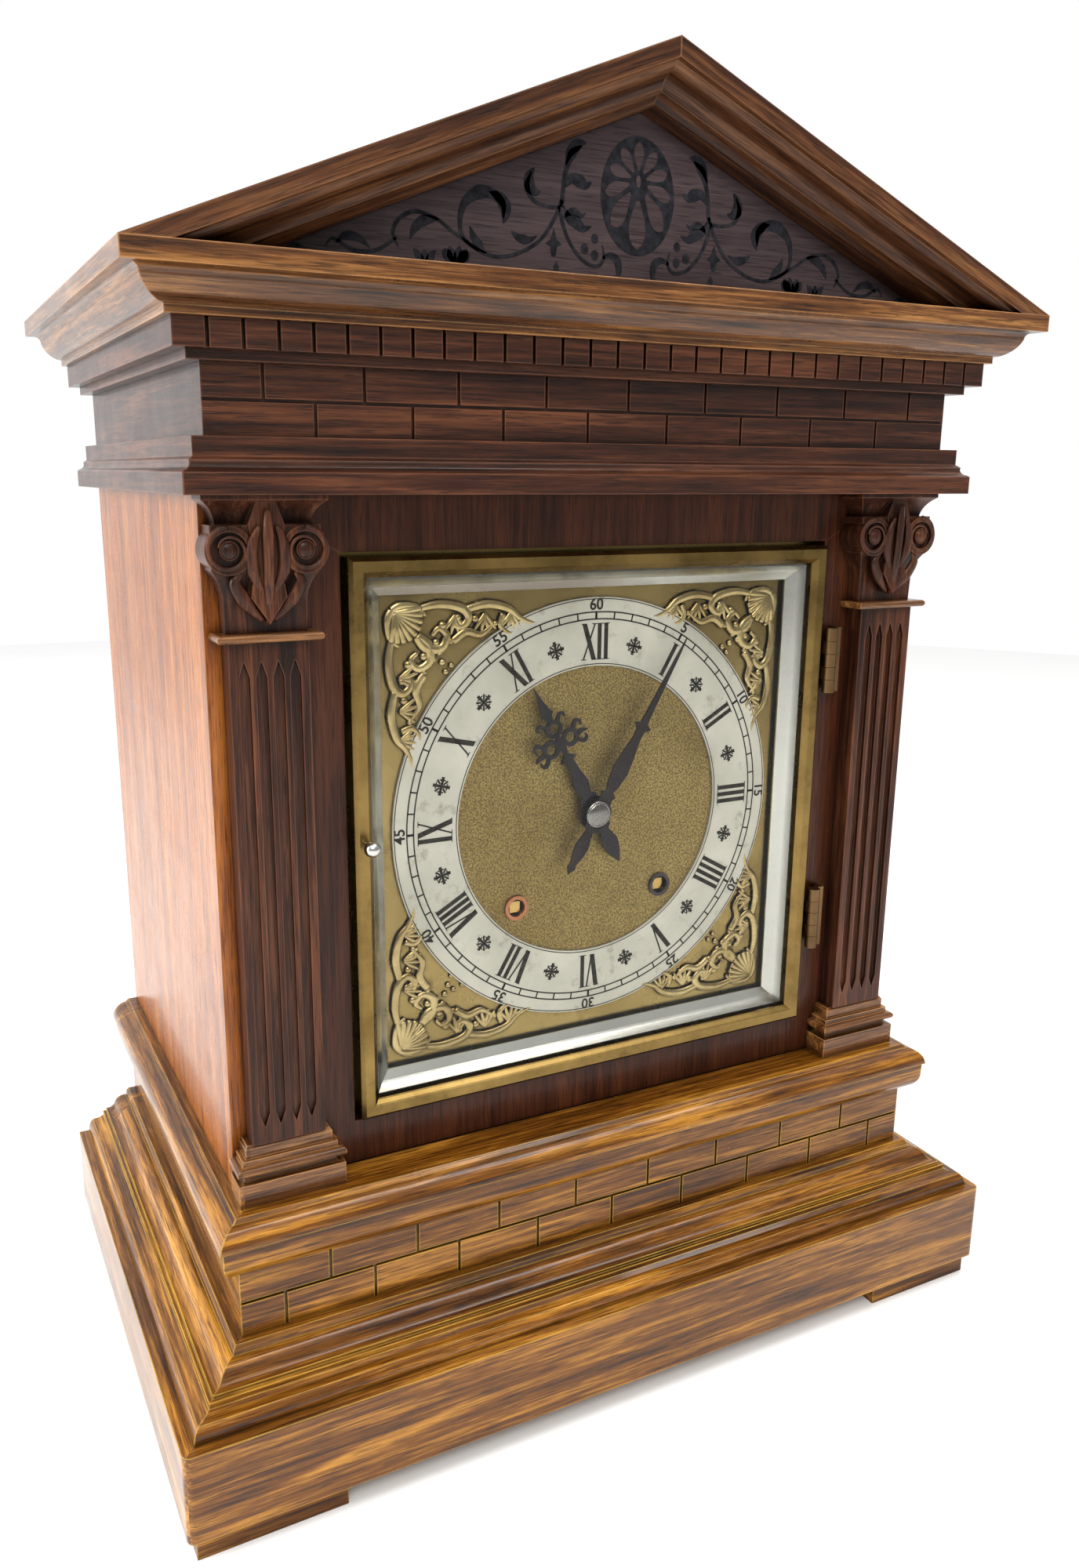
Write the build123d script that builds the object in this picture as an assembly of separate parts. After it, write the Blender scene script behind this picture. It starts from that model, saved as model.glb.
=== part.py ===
from build123d import *
import math
import os

# An architectural bracket clock: X to the right, +Y to the back, Z up.
# The origin is the middle of the footprint on the ground. Sizes are in millimetres.
# Depths are counted back from the front datum, the plane that the case mouldings project from.

# Case widths and depth
CASE_W = 286.0
CASE_D = 192.6
WALL = 14.0
BODY_INSET = 2.6
BODY_FRONT = 14.5
PANEL_T = 10.0

# Heights of the stacked storeys
FOOT_H = 9.0
PLINTH_H = 32.7
BASE_MOULD_H = 17.2
LOWER_FRIEZE_H = 24.6
SHELF_H = 19.9
ARCHITRAVE_H = 16.1
UPPER_FRIEZE_H = 20.1
BED_H = 2.9
DENTIL_H = 8.0
CORNICE_H = 16.4
PEDIMENT_H = 67.7

# Projections beyond the case width and the front datum
PLINTH_P = 27.2
LOWER_FRIEZE_P = 0.9
UPPER_FRIEZE_P = -2.8
BED_P = 2.0
DENTIL_P = 6.3
CORNICE_P = 21.2

# Feet and plinth
FOOT_W = 51.0
FOOT_INSET = 3.0
PLINTH_ROUND = 3.0
BOARD_T = 8.0

# Brick courses and saw cuts
JOINT_W = 1.0
JOINT_DEPTH = 1.2
LOWER_BRICK = 32.1
UPPER_BRICK = 30.6
DENTIL_PITCH = 9.98
DENTIL_COUNT = 29
DENTIL_CUT = 1.1
DENTIL_DEPTH = 2.2

# Pilasters
PILASTER_INSET = 20.2
BASE_BLOCK_W = 36.8
BASE_BLOCK_FRONT = 3.4
BASE_BLOCK_H = 8.0
PILASTER_BASE_H = 20.1
SHAFT_W = 25.0
SHAFT_FRONT = 6.3
SHAFT_H = 166.6
CAPITAL_H = 40.8
FLUTE_COUNT = 4
FLUTE_W = 3.4
FLUTE_PITCH = 5.3
FLUTE_DEPTH = 1.5
FLUTE_END = 6.0
ASTRAGAL_W = 33.0
ASTRAGAL_T = 2.4
ASTRAGAL_FRONT = 2.8
NECK_W = 25.4
NECK_FRONT = 6.8
VOLUTE_X = 11.5
VOLUTE_R = 7.2
VOLUTE_EYE_R = 2.9
VOLUTE_DROP = 16.0
VOLUTE_FRONT = 3.0
ABACUS_H = 8.7
ABACUS_W = 38.0
ABACUS_FRONT = 3.2
LEAF_W = 11.0

# Surround and front door
SURROUND_T = 7.2
DOOR_SIDE_GAP = 8.9
DOOR_LOW_GAP = 17.4
DOOR_TOP_GAP = 19.3
DOOR_BAR = 6.5
DOOR_GAP = 1.5
DOOR_FACE = 9.9
DOOR_DEPTH = 8.6
DOOR_CHAMFER = 1.3
DOOR_LIP = 1.4
GLASS_SET_BACK = 2.1
GLASS_T = 2.0
GLASS_BEVEL = 7.0
GLASS_BEVEL_DROP = 0.9
SIGHT_RUN = 6.4
SIGHT_GAP = 0.4
KNOB_R = 2.8
KNOB_Z = 3.4
HINGE_OUT = 2.7
HINGE_PROUD = 1.0
HINGE_R = 2.4
HINGE_PIN_R = 1.0
HINGE_LEN = 25.0
HINGE_UPPER = 53.0
HINGE_LOWER = -52.5
PIN_FIT = 0.05

# Dial and hands
DIAL_RISE = 1.2
DIAL_GAP = 6.5
DIAL_PLATE_W = 200.0
DIAL_PLATE_T = 2.0
RING_T = 1.2
RING_R = 78.8
RING_INNER_R = 54.3
CENTRE_T = 0.4
SPANDREL_T = 1.5
SPANDREL_REACH = 60.0
WINDING_X = 31.0
WINDING_DROP = 33.0
GROMMET_R = 4.1
GROMMET_BORE = 3.3
HAND_T = 0.8
MINUTE_SHORT = 6.0
MINUTE_TAIL = 24.5
MINUTE_ANGLE = 30.0
HOUR_OVER = 1.0
HOUR_TAIL = 22.8
HOUR_ANGLE = 331.5
HOUR_CLEAR = 2.8
HAND_GAP = 1.2
NUT_R = 4.3
NUT_T = 1.1
RUNNING_GAP = 0.4

# Motion work behind the dial
ARBOR_R = 2.0
CANNON_R = 3.0
PIPE_R = 4.2
MOTION_CENTRES = 24.0
CANNON_TEETH = 12
MINUTE_WHEEL_TEETH = 36
PINION_TEETH = 10
HOUR_WHEEL_TEETH = 40
MOTION_WHEEL_T = 2.6

# Movement
DIAL_FOOT_LEN = 12.3
DIAL_FOOT_R = 2.5
DIAL_FOOT_X = 50.0
DIAL_FOOT_LOW = 48.0
DIAL_FOOT_HIGH = 52.0
PLATE_W = 124.0
PLATE_TOP = 66.0
PLATE_BOTTOM = 70.0
PLATE_T = 3.0
PILLAR_LEN = 55.0
PILLAR_R = 4.5
PILLAR_INSET = 9.0
BARREL_R = 24.0
BARREL_LEN = 38.0
GREAT_WHEEL_R = 27.0
GREAT_WHEEL_T = 3.0
GREAT_WHEEL_TEETH = 64
WINDING_ARBOR_R = 3.0
WINDING_SQUARE = 4.2
SEAT_T = 10.0
SEAT_BACK = 100.0
RAIL_W = 10.0
PENDULUM_LEN = 122.0
PENDULUM_PIVOT = 52.0
ROD_R = 1.3
BOB_R = 22.0
BOB_T = 8.0
GONG_R = 50.0
GONG_WIRE_R = 1.5
GONG_PITCH = 8.0
GONG_HALF_TURNS = 6
GONG_DEPTH = 138.0
GONG_DROP = 58.0
GONG_STEM = 44.0
GONG_BLOCK_HALF = 8.0
HAMMER_X = 52.0
HAMMER_RISE = 43.0
HAMMER_LEN = 88.0
HAMMER_R = 5.0
HAMMER_ARM_W = 3.0
HAMMER_ARM_T = 4.0

# Back of the case
BACK_RECESS = 4.6
BACK_T = 8.0
BACK_RAIL = 20.0
BACK_GAP = 0.6
BACK_KNOB_R = 7.0

# Roof
ROOF_T = 6.0
RAKE_DEPTH = 14.5
TYMPANUM_FRONT = 0.6
TYMPANUM_T = 8.0

# Values that follow from the sizes above
H = CASE_W / 2
BODY_H = PILASTER_BASE_H + SHAFT_H + ASTRAGAL_T + CAPITAL_H
PILASTER_X = H - PILASTER_INSET
FY = -(CASE_D - PLINTH_P) / 2
BACK = CASE_D
Z_PLINTH = FOOT_H
Z_BASE = Z_PLINTH + PLINTH_H
Z_LOWER = Z_BASE + BASE_MOULD_H
Z_SHELF = Z_LOWER + LOWER_FRIEZE_H
Z_BODY = Z_SHELF + SHELF_H
Z_ARCH = Z_BODY + BODY_H
Z_UPPER = Z_ARCH + ARCHITRAVE_H
Z_BED = Z_UPPER + UPPER_FRIEZE_H
Z_DENTIL = Z_BED + BED_H
Z_CORNICE = Z_DENTIL + DENTIL_H
Z_ROOF = Z_CORNICE + CORNICE_H
Z_APEX = Z_ROOF + PEDIMENT_H
BODY_H_W = H - BODY_INSET
INNER = BODY_H_W - PANEL_T
DOOR_W = 2 * (PILASTER_X - BASE_BLOCK_W / 2 - DOOR_SIDE_GAP)
DOOR_H = BODY_H - DOOR_LOW_GAP - DOOR_TOP_GAP
DOOR_SIGHT_W = DOOR_W - 2 * DOOR_BAR
DOOR_SIGHT_H = DOOR_H - 2 * DOOR_BAR
DOOR_Z = Z_BODY + DOOR_LOW_GAP + DOOR_H / 2
DIAL_Z = DOOR_Z + DIAL_RISE
GLASS_FRONT = DOOR_FACE + GLASS_SET_BACK
RING_FRONT = GLASS_FRONT + GLASS_T + DIAL_GAP
SIGHT_BACK = RING_FRONT - SIGHT_GAP
SIGHT_W = DOOR_SIGHT_W - 2 * SIGHT_RUN
HINGE_X = DOOR_W / 2 + HINGE_OUT
HINGE_DEPTH = DOOR_FACE - HINGE_PROUD
HOUR_DEPTH = RING_FRONT - HOUR_CLEAR
MINUTE_DEPTH = HOUR_DEPTH - HAND_T - HAND_GAP
HOUR_LEN = RING_INNER_R + HOUR_OVER
MINUTE_LEN = RING_R - MINUTE_SHORT
PLATE_FRONT = RING_FRONT + RING_T
MOVE_FRONT = PLATE_FRONT + DIAL_PLATE_T + DIAL_FOOT_LEN
MOVE_BACK = MOVE_FRONT + PLATE_T + PILLAR_LEN
MOVE_END = MOVE_BACK + PLATE_T
SLOPE = math.atan2(PEDIMENT_H, H + CORNICE_P)

os.makedirs("parts", exist_ok=True)
written = []


def save(name, *solids):
    """Write one piece, as one solid or as a group of solids."""
    shape = solids[0] if len(solids) == 1 else Compound(children=list(solids))
    export_step(shape, f"parts/{name}.step")
    written.append(name)


def single(shape):
    """The one solid of a cut or fused shape."""
    found = shape.solids()
    return max(found, key=lambda s: s.volume)


def block(x0, x1, d0, d1, z0, z1):
    """A box between two widths, two depths behind the datum and two heights."""
    size = Box(abs(x1 - x0), abs(d1 - d0), abs(z1 - z0))
    return Pos((x0 + x1) / 2, FY + (d0 + d1) / 2, (z0 + z1) / 2) * size


def outline(start, steps):
    """A closed face from straight steps (a, b) and arcs (mid a, mid b, end a, end b)."""
    edges = []
    here = start
    for step in steps:
        if len(step) == 2:
            edges.append(Edge.make_line((*here, 0), (*step, 0)))
            here = step
        else:
            middle = (step[0], step[1], 0)
            edges.append(Edge.make_three_point_arc((*here, 0), middle, (step[2], step[3], 0)))
            here = (step[2], step[3])
    if here != start:
        edges.append(Edge.make_line((*here, 0), (*start, 0)))
    return Face(Wire(edges))


FRONT_PLANE = Plane(origin=(0, FY, 0), x_dir=(0, -1, 0), z_dir=(-1, 0, 0))
RIGHT_PLANE = Plane(origin=(H, 0, 0), x_dir=(1, 0, 0), z_dir=(0, -1, 0))


def plan(points, z0, z1):
    """An upright prism over plan points given as width and depth."""
    wire = Wire.make_polygon([(x, FY + d, 0) for x, d in points], close=True)
    return Pos(0, 0, z0) * extrude(Face(wire), amount=z1 - z0, dir=(0, 0, 1))


def moulded(face, reach, z0, z1, wall=WALL):
    """Front, left and right lengths of one section, mitred at the front corners."""
    long = H + reach + 1
    front = FRONT_PLANE * face
    front = extrude(front, amount=long, dir=(1, 0, 0), both=True)
    r = reach + 1
    keep = plan([(-H - r, -r), (H + r, -r), (H - wall, wall), (-H + wall, wall)], z0 - 1, z1 + 1)
    side = RIGHT_PLANE * face
    side = extrude(side, amount=BACK + r, dir=(0, 1, 0))
    side = Pos(0, FY - r, 0) * side
    corner = [(H + r, -r), (H + r, BACK), (H - wall, BACK), (H - wall, wall)]
    keep_side = plan(corner, z0 - 1, z1 + 1)
    right = single(side & keep_side)
    return single(front & keep), right.mirror(Plane.YZ), right


def strip(p, z0, z1, wall=WALL):
    """A plain rectangular section."""
    return outline((-wall, z0), [(p, z0), (p, z1), (-wall, z1)])


def cylinder(x, d0, d1, z, r):
    """A cylinder along the depth of the clock."""
    body = Cylinder(r, d1 - d0)
    return Pos(x, FY + (d0 + d1) / 2, z) * Rot(90, 0, 0) * body


def flat_plate(points, d0, d1):
    """A flat plate cut to points given as width and height, between two depths."""
    wire = Wire.make_polygon([(x, FY + d0, z) for x, z in points], close=True)
    return extrude(Face(wire), amount=d1 - d0, dir=(0, 1, 0))


# Feet, plinth and base moulding
foot_x = H + PLINTH_P - FOOT_INSET
feet = []
for side in (-1, 1):
    outer = side * foot_x
    inner = side * (foot_x - FOOT_W)
    feet.append(block(outer, inner, FOOT_INSET - PLINTH_P, FOOT_INSET - PLINTH_P + FOOT_W, 0, FOOT_H))
    feet.append(block(outer, inner, BACK - FOOT_INSET - FOOT_W, BACK - FOOT_INSET, 0, FOOT_H))
save("feet", *feet)

front, left, right = moulded(strip(PLINTH_P, Z_PLINTH, Z_BASE), PLINTH_P, Z_PLINTH, Z_BASE)
round_x = H + PLINTH_P
rounding = block(-round_x, round_x, -PLINTH_P, BACK, Z_PLINTH, Z_BASE)
corner_edges = rounding.edges().filter_by(Axis.Z).sort_by(Axis.Y)[:2]
rounding = fillet(corner_edges, PLINTH_ROUND)
plinth_back = block(-H + WALL, H - WALL, BACK - WALL, BACK, Z_PLINTH, Z_BASE)
save("plinth", single(front & rounding), single(left & rounding), single(right & rounding), plinth_back)

z = Z_BASE
base_face = outline((-WALL, z), [
    (22.8, z), (22.4, z + 2.8, 20.8, z + 5.1), (17.9, z + 5.4), (16.1, z + 6.2), (16.1, z + 8.2),
    (14.6, z + 8.2), (14.6, z + 9.4), (12.2, z + 9.6, 10.6, z + 11.4), (8.8, z + 13.6, 5.4, z + 14.2),
    (5.0, z + 15.9), (4.0, z + BASE_MOULD_H), (-WALL, z + BASE_MOULD_H)])
save("base_moulding", *moulded(base_face, 23, Z_BASE, Z_LOWER))
back_rails = [block(-H + WALL, H - WALL, BACK - WALL, BACK, low, high)
              for low, high in ((Z_BASE, Z_SHELF), (Z_SHELF, Z_BODY), (Z_ARCH, Z_ROOF - BOARD_T))]
save("back_rails", *back_rails)
save("base_board", block(-H + WALL, H - WALL, WALL, BACK - WALL, Z_LOWER, Z_LOWER + BOARD_T))


def brick_cuts(pitch, z0, z1, face_depth, upper_full):
    """Cutters for two courses of bricks, half a brick out of step."""
    middle = (z0 + z1) / 2
    deep = face_depth + JOINT_DEPTH
    shallow = face_depth - 2
    cuts = [block(-H - 5, H + 5, shallow, deep, middle - JOINT_W / 2, middle + JOINT_W / 2)]
    for course, low, high in ((0, z0, middle), (1, middle, z1)):
        n = 8 if (course == 1) == upper_full else 9
        start = -(n - 1) / 2 * pitch
        for k in range(n):
            x = start + k * pitch
            cuts.append(block(x - JOINT_W / 2, x + JOINT_W / 2, shallow, deep, low - 1, high + 1))
    return cuts


def course_cuts(front_solid, pitch, z0, z1, face_depth, upper_full):
    """The front length with its brick joints cut in."""
    middle = (z0 + z1) / 2
    courses = brick_cuts(pitch, z0, z1, face_depth, upper_full)
    lower = block(-H - 9, H + 9, -40, 40, z0 - 2, middle)
    upper = block(-H - 9, H + 9, -40, 40, middle, z1 + 2)
    result = front_solid - courses[0]
    for cut in courses[1:]:
        low_side = cut.center().Z < middle
        result = result - (cut & (lower if low_side else upper))
    return single(result)


front, left, right = moulded(strip(LOWER_FRIEZE_P, Z_LOWER, Z_SHELF), 2, Z_LOWER, Z_SHELF)
front = course_cuts(front, LOWER_BRICK, Z_LOWER, Z_SHELF, -LOWER_FRIEZE_P, True)
save("lower_frieze", front, left, right)

z = Z_SHELF
shelf_face = outline((-WALL, z), [
    (0.9, z), (5.2, z + 2.2, 7.1, z + 7.0), (7.3, z + 12.0), (8.2, z + 12.3), (6.4, z + 16.6, 2.4, z + 18.7),
    (1.0, z + SHELF_H), (-WALL, z + SHELF_H)])
save("shelf_moulding", *moulded(shelf_face, 9, Z_SHELF, Z_BODY))

# Body: side panels, front surround and back
for side, name in ((-1, "left"), (1, "right")):
    outer = side * BODY_H_W
    save(f"side_panel_{name}", block(outer, outer - side * PANEL_T, BODY_FRONT, BACK, Z_BODY, Z_ARCH))

door_half_w = DOOR_W / 2
open_w = door_half_w + DOOR_GAP
open_top = DOOR_Z + DOOR_H / 2 + DOOR_GAP
open_low = DOOR_Z - DOOR_H / 2 - DOOR_GAP
d0 = BODY_FRONT
d1 = BODY_FRONT + SURROUND_T
top_rail = flat_plate([(-INNER, Z_ARCH), (INNER, Z_ARCH), (open_w, open_top), (-open_w, open_top)], d0, d1)
low_rail = flat_plate([(-INNER, Z_BODY), (INNER, Z_BODY), (open_w, open_low), (-open_w, open_low)], d0, d1)
right_rail = flat_plate([(INNER, Z_BODY), (INNER, Z_ARCH), (open_w, open_top), (open_w, open_low)], d0, d1)
left_rail = right_rail.mirror(Plane.YZ)
save("surround", top_rail, low_rail, left_rail, right_rail)

back_face = BACK - BACK_RECESS
frame_low = Z_BODY
frame_in = INNER - BACK_RAIL
rails = [
    block(-INNER, INNER, back_face - BACK_T, back_face, Z_ARCH - BACK_RAIL, Z_ARCH),
    block(-INNER, INNER, back_face - BACK_T, back_face, frame_low, frame_low + BACK_RAIL),
    block(-INNER, -frame_in, back_face - BACK_T, back_face, frame_low + BACK_RAIL, Z_ARCH - BACK_RAIL),
    block(frame_in, INNER, back_face - BACK_T, back_face, frame_low + BACK_RAIL, Z_ARCH - BACK_RAIL)]
save("back_frame", *rails)


# Pilasters
def stepped(face, x, half, front_depth, z0, z1):
    """A block with one section on its front and both sides, mitred at the corners."""
    front_plane = Plane(origin=(0, FY + front_depth, 0), x_dir=(0, -1, 0), z_dir=(-1, 0, 0))
    across = extrude(front_plane * face, amount=half + 20, dir=(1, 0, 0), both=True)
    across = Pos(x, 0, 0) * across
    result = across
    for side in (-1, 1):
        side_plane = Plane(origin=(x + side * half, FY, 0), x_dir=(side, 0, 0), z_dir=(0, -side, 0))
        along = extrude(side_plane * face, amount=4 * BASE_BLOCK_W, dir=(0, 1, 0), both=True)
        result = result & along
    back_cut = block(x - half - 20, x + half + 20, -60, BODY_FRONT, z0 - 1, z1 + 1)
    return single(result & back_cut)


shaft_low = Z_BODY + PILASTER_BASE_H
shaft_top = shaft_low + SHAFT_H
astragal_top = shaft_top + ASTRAGAL_T
block_half = BASE_BLOCK_W / 2
shaft_half = SHAFT_W / 2
deep = -2 * BASE_BLOCK_W
bases = []
shafts = []
rods = []
capitals = []
for side in (-1, 1):
    x = side * PILASTER_X
    z = Z_BODY
    low = z + BASE_BLOCK_H
    rise = PILASTER_BASE_H - BASE_BLOCK_H
    base_face = outline((deep, z), [
        (0, z), (0, low), (-1.2, low), (-2.6, low + 0.12 * rise, -1.0, low + 0.21 * rise),
        (0.4, low + 0.33 * rise, -1.0, low + 0.45 * rise), (-2.0, low + 0.46 * rise),
        (-2.0, low + 0.63 * rise), (-3.4, low + 0.63 * rise), (-3.4, low + 0.91 * rise),
        (-4.2, shaft_low), (deep, shaft_low)])
    bases.append(stepped(base_face, x, block_half, BASE_BLOCK_FRONT, z, shaft_low))

    shaft = block(x - shaft_half, x + shaft_half, SHAFT_FRONT, BODY_FRONT, shaft_low, shaft_top)
    for k in range(FLUTE_COUNT):
        fx = x + (k - (FLUTE_COUNT - 1) / 2) * FLUTE_PITCH
        half = FLUTE_W / 2
        z0 = shaft_low + FLUTE_END
        z1 = shaft_top - FLUTE_END
        shape = [(fx - half, z0 + 5), (fx, z0), (fx + half, z0 + 5),
                 (fx + half, z1 - 5), (fx, z1), (fx - half, z1 - 5)]
        shaft = shaft - flat_plate(shape, SHAFT_FRONT - 1, SHAFT_FRONT + FLUTE_DEPTH)
    shafts.append(single(shaft))

    z = shaft_top
    half = ASTRAGAL_W / 2
    rod_face = outline((deep, z), [
        (-0.8, z), (0, z + ASTRAGAL_T / 2, -0.8, z + ASTRAGAL_T), (deep, z + ASTRAGAL_T)])
    rods.append(stepped(rod_face, x, half, ASTRAGAL_FRONT, z, astragal_top))

    z = astragal_top
    abacus_low = Z_ARCH - ABACUS_H
    half = NECK_W / 2
    bell_h = abacus_low - z
    bell_face = outline((deep, z), [
        (0, z), (0.2, z + 0.25 * bell_h), (1.2, z + 0.44 * bell_h, 4.0, z + 0.59 * bell_h),
        (4.0, abacus_low), (deep, abacus_low)])
    bell = stepped(bell_face, x, half, NECK_FRONT + 1.6, z, abacus_low)
    eye_z = Z_ARCH - VOLUTE_DROP
    ab = ABACUS_W / 2
    abacus_face = outline((deep, abacus_low), [
        (-4.6, abacus_low), (-3.4, abacus_low + 0.41 * ABACUS_H, 0, Z_ARCH - 0.18 * ABACUS_H), (0, Z_ARCH),
        (deep, Z_ARCH)])
    capital = bell + stepped(abacus_face, x, ab, ABACUS_FRONT, abacus_low, Z_ARCH)
    for turn in (-1, 1):
        vx = x + turn * VOLUTE_X
        scroll = cylinder(vx, VOLUTE_FRONT, BODY_FRONT, eye_z, VOLUTE_R)
        groove = cylinder(vx, VOLUTE_FRONT - 1, VOLUTE_FRONT + 1.6, eye_z, VOLUTE_R - 1.8)
        groove = groove - cylinder(vx, VOLUTE_FRONT - 2, VOLUTE_FRONT + 2, eye_z, VOLUTE_EYE_R)
        capital = capital + scroll - groove
    half = LEAF_W / 2
    lobe = z + 0.34 * bell_h
    waist = z + 0.62 * bell_h
    leaf = flat_plate([(x, z + 3), (x + half, lobe), (x + half * 0.7, waist), (x + half, abacus_low),
                       (x + 3, Z_ARCH - 2), (x - 3, Z_ARCH - 2), (x - half, abacus_low),
                       (x - half * 0.7, waist), (x - half, lobe)], VOLUTE_FRONT + 0.6, NECK_FRONT + 3)
    capitals.append(single(capital + leaf))
save("pilaster_bases", *bases)
save("pilaster_shafts", *shafts)
save("astragals", *rods)
save("capitals", *capitals)

# Entablature
z = Z_ARCH
arch_face = outline((-WALL, z), [
    (5.4, z), (5.4, z + 6.2), (4.6, z + 6.8), (3.2, z + 7.6, 2.9, z + 9.6), (1.5, z + 10.6),
    (1.5, z + ARCHITRAVE_H), (-WALL, z + ARCHITRAVE_H)])
save("architrave", *moulded(arch_face, 6, Z_ARCH, Z_UPPER))

front, left, right = moulded(strip(UPPER_FRIEZE_P, Z_UPPER, Z_BED), 2, Z_UPPER, Z_BED)
front = course_cuts(front, UPPER_BRICK, Z_UPPER, Z_BED, -UPPER_FRIEZE_P, False)
save("upper_frieze", front, left, right)
save("bed_moulding", *moulded(strip(BED_P, Z_BED, Z_DENTIL), 3, Z_BED, Z_DENTIL))

front, left, right = moulded(strip(DENTIL_P, Z_DENTIL, Z_CORNICE), 7, Z_DENTIL, Z_CORNICE)
for k in range(DENTIL_COUNT):
    x = (k - (DENTIL_COUNT - 1) / 2) * DENTIL_PITCH
    cut = block(x - DENTIL_CUT / 2, x + DENTIL_CUT / 2, -DENTIL_P - 2, -DENTIL_P + DENTIL_DEPTH,
                Z_DENTIL - 1, Z_CORNICE + 1)
    front = front - cut
save("dentil_strip", single(front), left, right)

z = Z_CORNICE
cornice_face = outline((-WALL, z), [
    (8.4, z), (8.4, z + 2.3), (10.0, z + 2.6), (13.6, z + 5.0, 15.6, z + 8.4),
    (17.0, z + 10.6, 18.6, z + 10.8),
    (CORNICE_P, z + 10.8), (CORNICE_P, z + CORNICE_H), (-WALL, z + CORNICE_H)])
save("cornice", *moulded(cornice_face, CORNICE_P, Z_CORNICE, Z_ROOF))
save("top_board", block(-H + WALL, H - WALL, WALL, BACK, Z_ROOF - BOARD_T, Z_ROOF))

# Pediment and roof
slope_c = math.cos(SLOPE)
slope_s = math.sin(SLOPE)
rake_len = math.hypot(PEDIMENT_H, H + CORNICE_P) + 40
rake_face = outline((-WALL, 0), [
    (CORNICE_P, 0), (CORNICE_P, -5.2), (19.2, -5.6), (18.4, -7.0, 16.4, -8.0), (12.6, -9.4, 11.4, -12.0),
    (10.2, -11.6), (8.6, -12.6, 7.4, -13.9), (6.4, -RAKE_DEPTH), (-WALL, -RAKE_DEPTH)])
rake_plane = Plane(origin=(0, FY, Z_APEX), x_dir=(0, -1, 0), z_dir=(-slope_c, 0, slope_s))
rake = extrude(rake_plane * rake_face, amount=rake_len, dir=(slope_c, 0, -slope_s), both=True)
limit = block(0, H + CORNICE_P + 1, -CORNICE_P - 1, WALL + 1, Z_ROOF, Z_APEX + 20)
rake = single(rake & limit)
save("raking_cornice", rake, rake.mirror(Plane.YZ))

half_top = H + CORNICE_P


def gable(drop):
    """Half width on the cornice and apex height of a triangle set below the roof line."""
    apex = Z_APEX - drop / slope_c
    return (apex - Z_ROOF) / math.tan(SLOPE), apex


reach, peak = gable(RAKE_DEPTH)
panel_back = TYMPANUM_FRONT + TYMPANUM_T
panel = flat_plate([(-reach, Z_ROOF), (reach, Z_ROOF), (0, peak)], TYMPANUM_FRONT, panel_back)
save("tympanum", panel)
reach, peak = gable(ROOF_T)
board = flat_plate([(0, Z_APEX), (half_top, Z_ROOF), (reach, Z_ROOF), (0, peak)], WALL, BACK)
save("roof_boards", board, board.mirror(Plane.YZ))
save("back_gable", flat_plate([(-reach, Z_ROOF), (reach, Z_ROOF), (0, peak)], BACK - BACK_T, BACK))


# Front door
def mitred_frame(half_w, half_h, inner_w, inner_h, centre_z, section):
    """Four bars of one section, mitred at the corners; the section is in reach and depth."""
    bars = []
    big = max(half_w, half_h) + 20
    for turn in range(4):
        upright = turn % 2 == 0
        half_a = inner_w if upright else inner_h
        half_b = inner_h if upright else inner_w
        face = outline(section[0], section[1:])
        plane = Plane(origin=(half_a, 0, 0), x_dir=(1, 0, 0), z_dir=(0, 0, 1))
        bar = extrude(plane * face, amount=big, dir=(0, 0, 1), both=True)
        spread = 40
        near = half_a - spread
        far = half_a + spread
        wedge = Wire.make_polygon([(near, 0, half_b - spread), (far, 0, half_b + spread),
                                   (far, 0, -half_b - spread), (near, 0, -half_b + spread)], close=True)
        wedge = extrude(Face(wedge), amount=60, dir=(0, 1, 0), both=True)
        bar = single(bar & wedge)
        bars.append(Pos(0, FY, centre_z) * Rot(0, 90 * turn, 0) * bar)
    return bars


door_half_h = DOOR_H / 2
sight_half_w = DOOR_SIGHT_W / 2
sight_half_h = DOOR_SIGHT_H / 2
bar_w = door_half_w - sight_half_w
face_d = DOOR_FACE
door_back = DOOR_FACE + DOOR_DEPTH
section = [(0, door_back), (0, GLASS_FRONT), (0.4, GLASS_FRONT - 0.4), (DOOR_LIP, face_d + 0.5),
           (DOOR_LIP + 0.5, face_d), (bar_w - DOOR_CHAMFER, face_d), (bar_w, face_d + DOOR_CHAMFER),
           (bar_w, door_back)]
save("door_frame", *mitred_frame(door_half_w, door_half_h, sight_half_w, sight_half_h, DOOR_Z, section))

glass_back = GLASS_FRONT + GLASS_T
pane_low = DOOR_Z - sight_half_h
pane = block(-sight_half_w, sight_half_w, GLASS_FRONT, glass_back, pane_low, DOOR_Z + sight_half_h)
bevel = []
for turn in range(4):
    half = sight_half_w if turn % 2 == 0 else sight_half_h
    wedge = outline((half - GLASS_BEVEL, GLASS_FRONT), [
        (half + 1, GLASS_FRONT + GLASS_BEVEL_DROP * (1 + 1 / GLASS_BEVEL)), (half + 1, GLASS_FRONT - 1),
        (half - GLASS_BEVEL, GLASS_FRONT - 1)])
    cut = extrude(wedge, amount=120, dir=(0, 0, 1), both=True)
    bevel.append(Pos(0, FY, DOOR_Z) * Rot(0, 90 * turn, 0) * cut)
for cut in bevel:
    pane = pane - cut
save("door_glass", single(pane))

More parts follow.
